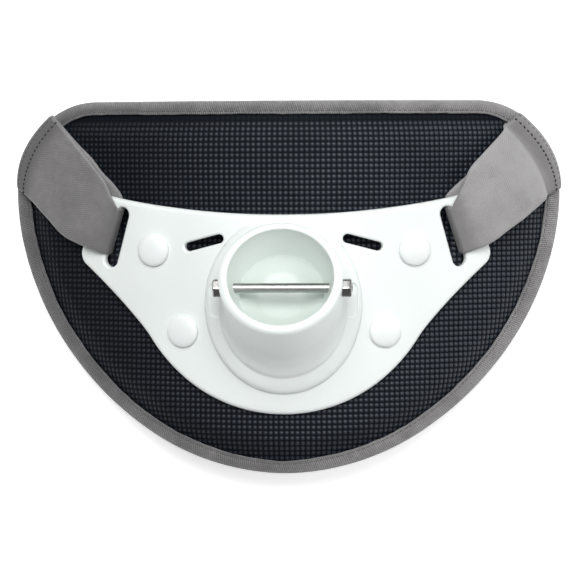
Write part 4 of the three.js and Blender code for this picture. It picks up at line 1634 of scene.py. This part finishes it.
    def plate(self) -> Shell:
        """Closed shell of the plate: both faces over one triangulation that keeps every loop, joined
        round the outline and the slots by rounded edges.

        Returns:
            The shell in the frame.
        """
        outer = self.outline()
        loops = [outer + loop_normals(outer) * self.front_round]
        rounds = [(self.front_round, self.back_round)]
        ways = [-loop_normals(outer)]
        for side in (-1, 1):
            for slot, lip, count in ((self.strap_slot, 1.5, 84), (self.vent_slot, 1.3, 64)):
                loop = self.stadium(slot, side, lip, count)
                loops.append(loop)
                rounds.append((lip, 0.6))
                ways.append(loop_normals(loop))
        lines = list(loops)
        a, b = self.flange_radius, self.flange_radius / math.cos(self.cup_tilt)
        angle = np.linspace(0, 2 * np.pi, 132, endpoint=False)
        oval = np.stack([a * np.cos(angle), self.flange_centre + b * np.sin(angle)], axis=1)[::-1]
        for depth in (-0.4, 0.06, 0.4, 0.9, 1.7, 2.6):
            lines.append(oval + loop_normals(oval) * depth)
        cu, cv, half_u, half_v, radius = self.recess
        for side in (-1, 1):
            for grow in (0.15, -0.45):
                slot = (cu, cv, 2 * (half_v + grow), 2 * (half_u + grow), 90.0)
                lines.append(self.stadium(slot, side, 0.0, 48))
        fixed = np.vstack(lines)
        inner = crossed(np.arange(-114.0, 114.1, self.spacing), np.arange(-68.0, 48.1, self.spacing))
        inner[1::2, :, 1] += 1.5
        inner = inner.reshape(-1, 2)
        inner = inner[within(inner, loops[0])]
        for hole in loops[1:]:
            inner = inner[~within(inner, hole)]
        inner = inner[nearest(inner, fixed)[0] > 1.3]
        starts = np.cumsum([0] + [len(line) for line in lines])
        edges = [
            (int(start + k), int(start + (k + 1) % len(line)))
            for start, line in zip(starts, lines)
            for k in range(len(line))
        ]
        seeds = [Vector((float(x), float(y))) for x, y in np.vstack([fixed, inner])]
        found = delaunay_2d_cdt(seeds, edges, [], 0, 1e-5)
        flat = np.array([[p.x, p.y] for p in found[0]])
        origin = {source: k for k, sources in enumerate(found[3]) for source in sources}
        faces = np.array([list(face) for face in found[2]])
        middles = flat[faces].mean(axis=1)
        keep = within(middles, loops[0])
        for hole in loops[1:]:
            keep &= ~within(middles, hole)
        faces = faces[keep]
        edge = nearest(flat, loops[0])[0]
        base = self.level(flat[:, 0])
        top = np.column_stack([flat, base + self.thickness + self.relief(flat, edge)])
        bottom = np.column_stack([flat, base])
        points, blocks, count = [top, bottom], [faces, faces[:, ::-1] + len(top)], 2 * len(top)
        for start, loop, (front, back), way in zip(starts, loops, rounds, ways):
            own = np.array([origin[start + k] for k in range(len(loop))])
            quarter, third = np.radians(np.linspace(15, 90, 6)), np.radians(np.linspace(0, 90, 4))
            reach = np.concatenate([front * np.sin(quarter), front - back * (1 - np.cos(third))])
            under = self.thickness - back * (1 - np.sin(third))
            drop = np.concatenate([front * (1 - np.cos(quarter)), under])
            rows = loop[None] + way[None] * reach[:, None, None]
            level = self.level(rows[..., 0]) + self.thickness - drop[:, None]
            points.append(np.concatenate([rows, level[..., None]], axis=-1).reshape(-1, 3))
            numbers = count + np.arange(len(reach) * len(loop)).reshape(len(reach), -1)
            count += numbers.size
            blocks.append(ring_bands(np.vstack([own, numbers, own + len(top)])))
        whole = np.vstack(points)
        quads = np.vstack(blocks[2:])
        if self.turned(whole, faces, quads[: len(loops[0])]):
            quads = quads[:, ::-1]
        faces = [np.vstack(blocks[:2]), quads]
        shell = Shell(whole, faces, [whole[block][:, :, :2] for block in faces], [0, 0])
        return shell.placed(self.waist.lay).outward()

    def turned(self, points: Array, faces: Array, band: Array) -> bool:
        """Whether the edge band runs round its corners the other way from the top face.

        Args:
            points: Corners.
            faces: Triangles of the top face.
            band: Faces of the first band, whose first two corners are on the top face.

        Returns:
            True where both use an edge in the same direction.
        """
        pairs = np.concatenate([faces[:, [0, 1]], faces[:, [1, 2]], faces[:, [2, 0]]])
        size = len(points)
        return bool(np.isin(band[:, 0] * size + band[:, 1], pairs[:, 0] * size + pairs[:, 1]).any())

    def flange_top(self) -> float:
        """Level of the flange's top over the pad's face."""
        return self.seat_level - self.waist.pad_thickness + self.thickness + self.flange_height

    def axes(self) -> tuple[Array, Array, Array, Array]:
        """Rim centre of the cup in the belt, and the cup's own x, y and axis.

        Returns:
            The centre and the three directions.
        """
        axis = np.array([0.0, math.sin(self.cup_tilt), math.cos(self.cup_tilt)])
        up = np.array([0.0, math.cos(self.cup_tilt), -math.sin(self.cup_tilt)])
        rim = np.array([0.0, self.cup_foot, self.flange_top()]) + axis * self.cup_length
        return rim, np.array([1.0, 0.0, 0.0]), up, axis

    def rings(self, radius: Array, depth: Array, count: int) -> Array:
        """Rings round the cup's axis at given radii and depths below the rim, in the belt.

        Args:
            radius: Radius of each ring.
            depth: Depth of each ring.
            count: Places round each.

        Returns:
            Grid of rings × places.
        """
        rim, across, up, axis = self.axes()
        angle = turns(count)
        radial = np.outer(np.cos(angle), across) + np.outer(np.sin(angle), up)
        return rim + radius[:, None, None] * radial[None] - depth[:, None, None] * axis

    def foot(self, radius: float, count: int) -> tuple[Array, Array]:
        """Where the cup's drafted wall meets the flange's bent top, for a lip radius.

        Args:
            radius: Wall radius at the lip.
            count: Places round the cup.

        Returns:
            Those points, and the wall's unit directions down to them.
        """
        radii = np.array([radius, radius + math.tan(self.cup_draft)])
        start, lower = self.rings(radii, np.array([self.lip_round, self.lip_round + 1.0]), count)
        way = unit(lower - start)
        radius_top = self.waist.radius + self.flange_top()
        height = start[:, 2] + self.waist.radius
        a = way[:, 0] ** 2 + way[:, 2] ** 2
        b = 2 * (start[:, 0] * way[:, 0] + height * way[:, 2])
        c = start[:, 0] ** 2 + height**2 - radius_top**2
        travel = (-b - np.sqrt(b * b - 4 * a * c)) / (2 * a)
        return start + way * travel[:, None], way

    def cup(self) -> Shell:
        """Closed shell of the cup: from a root in the plate over a curved foot, up the wall, round
        the lip, down the bore and over the dished floor to the flat seat. At a share s of its height
        the wall draws in by (1 − s)(1 − e to the −s/0.05) of the waisting, most on the lower side.

        Returns:
            The shell in the frame.
        """
        count = 144
        place, way = self.foot(self.cup_radius, count)
        beyond = unit(self.foot(self.cup_radius + 1.0, count)[0] - place)
        up = unit((place + np.array([0.0, 0.0, self.waist.radius])) * np.array([1.0, 0.0, 1.0]))
        out, high = place + beyond * self.foot_fillet, place - way * self.foot_fillet
        t = np.linspace(0.0, 1.0, 8)[:, None, None]
        fillet = (1 - t) ** 2 * out + 2 * t * (1 - t) * place + t**2 * high
        lip_start = self.rings(np.array([self.cup_radius]), np.array([self.lip_round]), count)[0]
        share = np.array([0.012, 0.03, 0.055, 0.085, 0.12, 0.17, 0.24, 0.34, 0.46, 0.6, 0.76, 0.9, 1.0])
        share = share[:, None, None]
        below = -np.sin(turns(count))
        hollow = self.waisting * (0.3 + 0.7 * smoothstep(below, -0.1, 0.9))[:, None]
        sweep = (1.0 - share) * (1.0 - np.exp(-share / 0.05))
        wall = high + (lip_start - high) * share - beyond * hollow * sweep
        turn = np.radians(np.linspace(12, 168, 14))
        crest = self.bore_rim + self.lip_inner
        half = np.where(turn < np.pi / 2, self.cup_radius - crest, self.lip_inner)
        drop = np.where(turn < np.pi / 2, self.lip_round, self.lip_inner)
        lip = self.rings(crest + half * np.cos(turn), drop * (1 - np.sin(turn)), count)
        bore = np.array(
            [
                # radius, depth
                [self.bore_rim, self.lip_inner],
                [self.bore_rim - 1.4, 7.5],
                [self.bore_rim - 3.1, 14.0],
                [self.bore_floor + 0.7, 19.8],
                [self.bore_floor + 0.25, 21.4],
                [self.bore_floor, 21.75],
                [self.bore_floor - 0.45, 22.0],
                [self.bore_floor - 3.0, 23.1],
                [self.seat_radius + 3.0, 25.1],
                [self.seat_radius + 0.6, 26.0],
                [self.seat_radius - 0.6, self.bore_depth],
                [self.seat_radius * 0.5, self.bore_depth],
            ]
        )
        inside = self.rings(bore[:, 0], bore[:, 1], count)
        root = out - up * 2.0
        grid = np.concatenate([root[None], (out - up * 0.03)[None], fillet[1:], wall, lip, inside])
        rim, _, _, axis = self.axes()
        ends = (root.mean(axis=0), rim - axis * self.bore_depth)
        start = len(grid) - len(bore)
        # The bore's walls and its floor take the painted-shade whites
        shell = tube(grid, run_along(grid[:, 0]), 1.4, ends, (start, start + 5))
        return shell.placed(self.waist.stand)

    def build(self) -> bpy.types.Object:
        """Plate and cup as one piece.

        Returns:
            The piece.
        """
        whites = [finish.make() for finish in self.finishes]
        made = make_object("gimbal_moulding", self.plate().joined(self.cup()), whites, 42.0)
        return settled(made, "moulding", "gimbal_plate")


@dataclass
class CrossPin:
    """Steel rod across the cup with a hexagon head on the left and a nut on the right."""

    gimbal: GimbalMoulding
    finish: DrawnSteel
    depth: float = PIN_DEPTH
    radius: float = 2.6
    head: float = 4.3
    hexagon: float = 9.4
    inner: float = 32.1
    height: float = 5.2
    proud: float = 0.6

    def turned(self, rows: Array, six: Array) -> Shell:
        """Closed bar along x: each row gives a place along it and a radius, and the six-sided rows
        divide the radius by the cosine of the angle from the nearest flat's middle.

        Args:
            rows: Place and radius of each ring.
            six: Whether each ring is a hexagon.

        Returns:
            The shell, in the belt.
        """
        angle = turns(72)
        sector = angle % (np.pi / 3) - np.pi / 6
        hexed = np.minimum(1.0 / np.cos(sector), 1.125)
        girth = rows[:, 1:] * np.where(six[:, None], hexed[None], 1.0)
        rim, across, up, axis = self.gimbal.axes()
        centre = rim - axis * self.depth
        side = girth[..., None] * (np.cos(angle)[:, None] * up + np.sin(angle)[:, None] * axis)[None]
        grid = centre + rows[:, :1, None] * across + side
        ends = (centre + rows[0, 0] * across, centre + rows[-1, 0] * across)
        return tube(grid, rows[:, 0], 0.2, ends)

    def build(self) -> list[bpy.types.Object]:
        """The pin with its head, and the nut.

        Returns:
            Both pieces.
        """
        steel = self.finish.make()
        flat, outer, near = self.hexagon / 2, self.inner + self.height, self.inner + self.head
        end = outer + self.proud
        pin = np.array(
            [
                [-near, flat * 0.5], [-near, flat * 0.86], [-near + 0.3, flat * 0.95],
                [-near + 0.7, flat], [-self.inner - 0.3, flat], [-self.inner, flat * 0.95],
                [-self.inner, self.radius + 0.3], [-self.inner + 0.4, self.radius],
                [0.0, self.radius], [end - 0.6, self.radius], [end - 0.15, self.radius * 0.85],
                [end, self.radius * 0.6],
            ]
        )
        nut = np.array(
            [
                [self.inner, self.radius + 0.35], [self.inner, flat * 0.93], [self.inner + 0.4, flat],
                [outer - 0.8, flat], [outer - 0.35, flat * 0.96], [outer, flat * 0.86],
                [outer, self.radius + 0.5],
            ]
        )
        made = []
        # Each part's hexagon runs from its third ring to the ring given here
        parts = (("steel_pin", "cross_pin", pin, 5), ("steel_nut", "pin_nut", nut, 4))
        for name, node, rows, last in parts:
            number = np.arange(len(rows))
            shell = self.turned(rows, (number >= 2) & (number <= last)).placed(self.gimbal.waist.stand)
            made.append(settled(make_object(name, shell, [steel], 28.0), "steel", node))
        return made


@dataclass
class RivetCaps:
    """Four domed caps that hold the plate to the panel."""

    gimbal: GimbalMoulding
    finish: MouldedPlastic
    head: float = 8.75
    dome: float = 3.2
    rim: float = 0.75
    rim_round: float = 0.3
    shank: float = 2.5
    grip: float = 6.5
    gap: float = 0.3
    places: tuple[tuple[str, float, float], ...] = (("upper", 70.8, 19.7), ("lower", 54.3, -24.3))

    def profile(self) -> Array:
        """Radius and height rows: a plain shank, a flat underside, a small round rim and a low
        dome that follows a superellipse.

        Returns:
            The rows, from the shank's end to the dome's top.
        """
        seat = self.gimbal.thickness + self.gap
        angle = np.radians(np.linspace(0.0, 88.0, 14))
        rim_angle = np.radians(np.linspace(-90.0, 0.0, 4))
        rim = np.stack([np.cos(rim_angle), np.sin(rim_angle)], axis=1) * self.rim_round
        rim += (self.head - self.rim_round, seat + self.rim_round)
        dome = np.stack(
            [
                self.head * np.cos(angle) ** 0.9,
                seat + self.rim + (self.dome - self.rim) * np.sin(angle) ** 0.95,
            ],
            axis=1,
        )
        shank = np.array([[self.shank, -self.grip], [self.shank, seat], [self.shank + 2.0, seat]])
        return np.vstack([shank, rim, dome])

    def build(self) -> list[bpy.types.Object]:
        """The four caps.

        Returns:
            The caps.
        """
        white, waist, made = self.finish.make(), self.gimbal.waist, []
        profile, angle = self.profile(), turns(64)
        for label, reach, v in self.places:
            for side in Side:
                u = side.value * reach
                near = np.array([[u - 0.5, v, 0.0], [u + 0.5, v, 0.0]])
                near[:, 2] = self.gimbal.level(near[:, 0])
                belt = waist.bend(near)
                across = unit(belt[1] - belt[0])
                up = np.array([0.0, 1.0, 0.0])
                out = np.cross(across, up)
                radial = np.outer(np.cos(angle), across) + np.outer(np.sin(angle), up)
                centre = belt.mean(axis=0)
                grid = centre + profile[:, :1, None] * radial[None] + profile[:, 1:, None] * out
                ends = (centre + out * profile[0, 1], centre + out * (profile[-1, 1] + 0.01))
                shell = tube(grid, profile[:, 1], 0.8, ends).placed(waist.stand)
                name = f"{label}_{side.name.lower()}"
                cap = make_object(f"cap_{name}", shell, [white], 50.0)
                made.append(settled(cap, "rivet", f"rivet_{name}"))
        return made


@dataclass
class Studio:
    """Pale floor, soft lights and the camera at the photograph's angle."""

    waist: WaistCurve
    azimuth: float = 2.46
    elevation: float = 4.18
    roll: float = 0.29
    target: tuple[float, float] = (3.30, 0.97)
    distance: float = 1149.0
    focal_pixels: float = 2122.6
    frame_width: float = 579.0
    surround: float = 0.13
    floor_glow: float = 0.55
    lamps: tuple[tuple[str, tuple[float, float, float], float, float], ...] = (
        # name, place in metres, side in metres, watts
        ("key_box", (0.0, 0.7, 1.55), 1.1, 25.0),
        ("front_fill", (0.0, -0.1, 1.8), 1.4, 7.5),
        ("right_box", (1.45, 0.05, 1.05), 0.8, 6.5),
    )

    def camera(self) -> None:
        """Camera before the belt's front, a little to the right and above its middle."""
        way = unit(np.array([*np.tan(np.radians([self.azimuth, self.elevation])), 1.0]))
        aim = np.array([*self.target, 0.0])
        roll = math.radians(self.roll)
        across = unit(np.cross([math.sin(roll), math.cos(roll), 0.0], way))
        up = np.cross(way, across)
        origin = self.waist.stand(np.zeros(3))
        turned = [self.waist.stand(axis * 1000.0) - origin for axis in (across, up, way)]
        place = self.waist.stand(aim + way * self.distance)
        data = bpy.data.cameras.new("camera")
        data.sensor_width = 36.0
        data.lens = self.focal_pixels * 36.0 / self.frame_width
        made = bpy.data.objects.new("camera", data)
        matrix = np.eye(4)
        matrix[:3, :3] = np.stack(turned, axis=1)
        matrix[:3, 3] = place
        made.matrix_world = Matrix(matrix.tolist())
        bpy.context.scene.collection.objects.link(made)
        bpy.context.scene.camera = made

    def floor(self) -> None:
        """Plain pale floor under the belt."""
        bench = Bench("studio_floor")
        bench.set(Base_Color=(0.93, 0.93, 0.93, 1.0), Roughness=0.9)
        bench.set(Emission_Color=(1.0, 1.0, 1.0, 1.0), Emission_Strength=self.floor_glow)
        mesh = bpy.data.meshes.new("floor")
        mesh.from_pydata([(-4, -4, 0), (4, -4, 0), (4, 4, 0), (-4, 4, 0)], [], [(0, 1, 2, 3)])
        mesh.materials.append(bench.material)
        floor = bpy.data.objects.new("floor", mesh)
        bpy.context.scene.collection.objects.link(floor)

    def light(self, name: str, place: tuple[float, float, float], size: float, power: float) -> None:
        """Soft square lamp that faces the belt.

        Args:
            name: The lamp's name.
            place: Its place in metres.
            size: Side of the square in metres.
            power: Watts.
        """
        data = bpy.data.lights.new(name, "AREA")
        data.size = size
        data.energy = power
        made = bpy.data.objects.new(name, data)
        made.location = place
        made.rotation_euler = (-Vector(place)).to_track_quat("-Z", "Y").to_euler()
        bpy.context.scene.collection.objects.link(made)

    def build(self) -> None:
        """Camera, floor, lamps and a pale surround."""
        self.camera()
        self.floor()
        for lamp in self.lamps:
            self.light(*lamp)
        world = bpy.data.worlds.new("surround")
        world.use_nodes = True
        background = world.node_tree.nodes["Background"]
        background.inputs["Color"].default_value = (1.0, 1.0, 1.0, 1.0)
        background.inputs["Strength"].default_value = self.surround
        bpy.context.scene.world = world
        bpy.context.scene.view_settings.view_transform = "Standard"


def belt_shift(waist: WaistCurve, gimbal: GimbalMoulding) -> tuple[float, float, float]:
    """Shift of the tilted belt in the frame, from where the frame holds the nut on the pin's axis.

    Args:
        waist: Curve without a shift.
        gimbal: Moulding that gives the cup's place.

    Returns:
        The shift in millimetres.
    """
    rim, _, _, axis = gimbal.axes()
    expected = waist.stand(rim - axis * PIN_DEPTH) * 1000.0
    low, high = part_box("pin_nut")
    middle = (np.array(low) + np.array(high)) * 500.0
    return (0.0, float(middle[1] - expected[1]), float(middle[2] - expected[2]))


def main() -> None:
    """Builds the belt on its frame, and the studio round it."""
    logging.basicConfig(level=logging.INFO, format="%(message)s")
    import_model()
    bare = WaistCurve()
    whites = (
        MouldedPlastic(),
        # Painted shade: a darker, greener white for the cup's bore, and a darker one still for its floor,
        # where shade falls
        MouldedPlastic("bore_painted_shade", (0.82, 0.885, 0.85), (0.79, 0.86, 0.82)),
        MouldedPlastic("floor_painted_shade", (0.585, 0.65, 0.612), (0.56, 0.625, 0.588)),
    )
    waist = WaistCurve(shift=belt_shift(bare, GimbalMoulding(bare, whites)))
    LOG.info("belt shift %s mm", waist.shift)
    outline = PadOutline()
    tape = WovenWebbing(
        "binding_weave", (0.31, 0.302, 0.306), (0.065, 0.063, 0.064), 1.15, 16.0, 0.6, 0.0006, 12.2, 0.65
    )
    # The webbing's last argument is painted shade at its hem and where it turns into the slot
    webbing = WovenWebbing(
        "webbing_weave", (0.33, 0.322, 0.326), (0.11, 0.106, 0.108), 1.0, -64.0, 0.6, 0.00013, 18.1, 0.45,
        ((5.0, 8.0, 0.85), (79.0, 12.0, 0.8)),
    )
    black = SewingThread("black_thread", (0.03, 0.03, 0.032), (0.006, 0.006, 0.006))
    grey = SewingThread("grey_thread", (0.2, 0.195, 0.197), (0.06, 0.058, 0.059))
    gimbal = GimbalMoulding(waist, whites)
    PadCushion(waist, outline, EmbossedCover(), BackingCloth(), gimbal.outline()).build()
    EdgeBinding(waist, outline, tape, grey).build()
    gimbal.build()
    CrossPin(gimbal, DrawnSteel()).build()
    RivetCaps(gimbal, MouldedPlastic("cap_white", (0.86, 0.89, 0.885), (0.82, 0.855, 0.85))).build()
    for cut in (
        StrapCut(Side.LEFT, FRONT_LEFT, UNDER_LEFT, (155.2, 73.2), 1.6, -0.3, 0.12, 0.078),
        StrapCut(Side.RIGHT, FRONT_RIGHT, UNDER_RIGHT, (155.2, 73.2), 2.6, 0.3, 0.5, 0.062),
    ):
        WebbingStrap(waist, cut, webbing, black).build()
    Studio(waist).build()


if __name__ == "__main__":
    main()
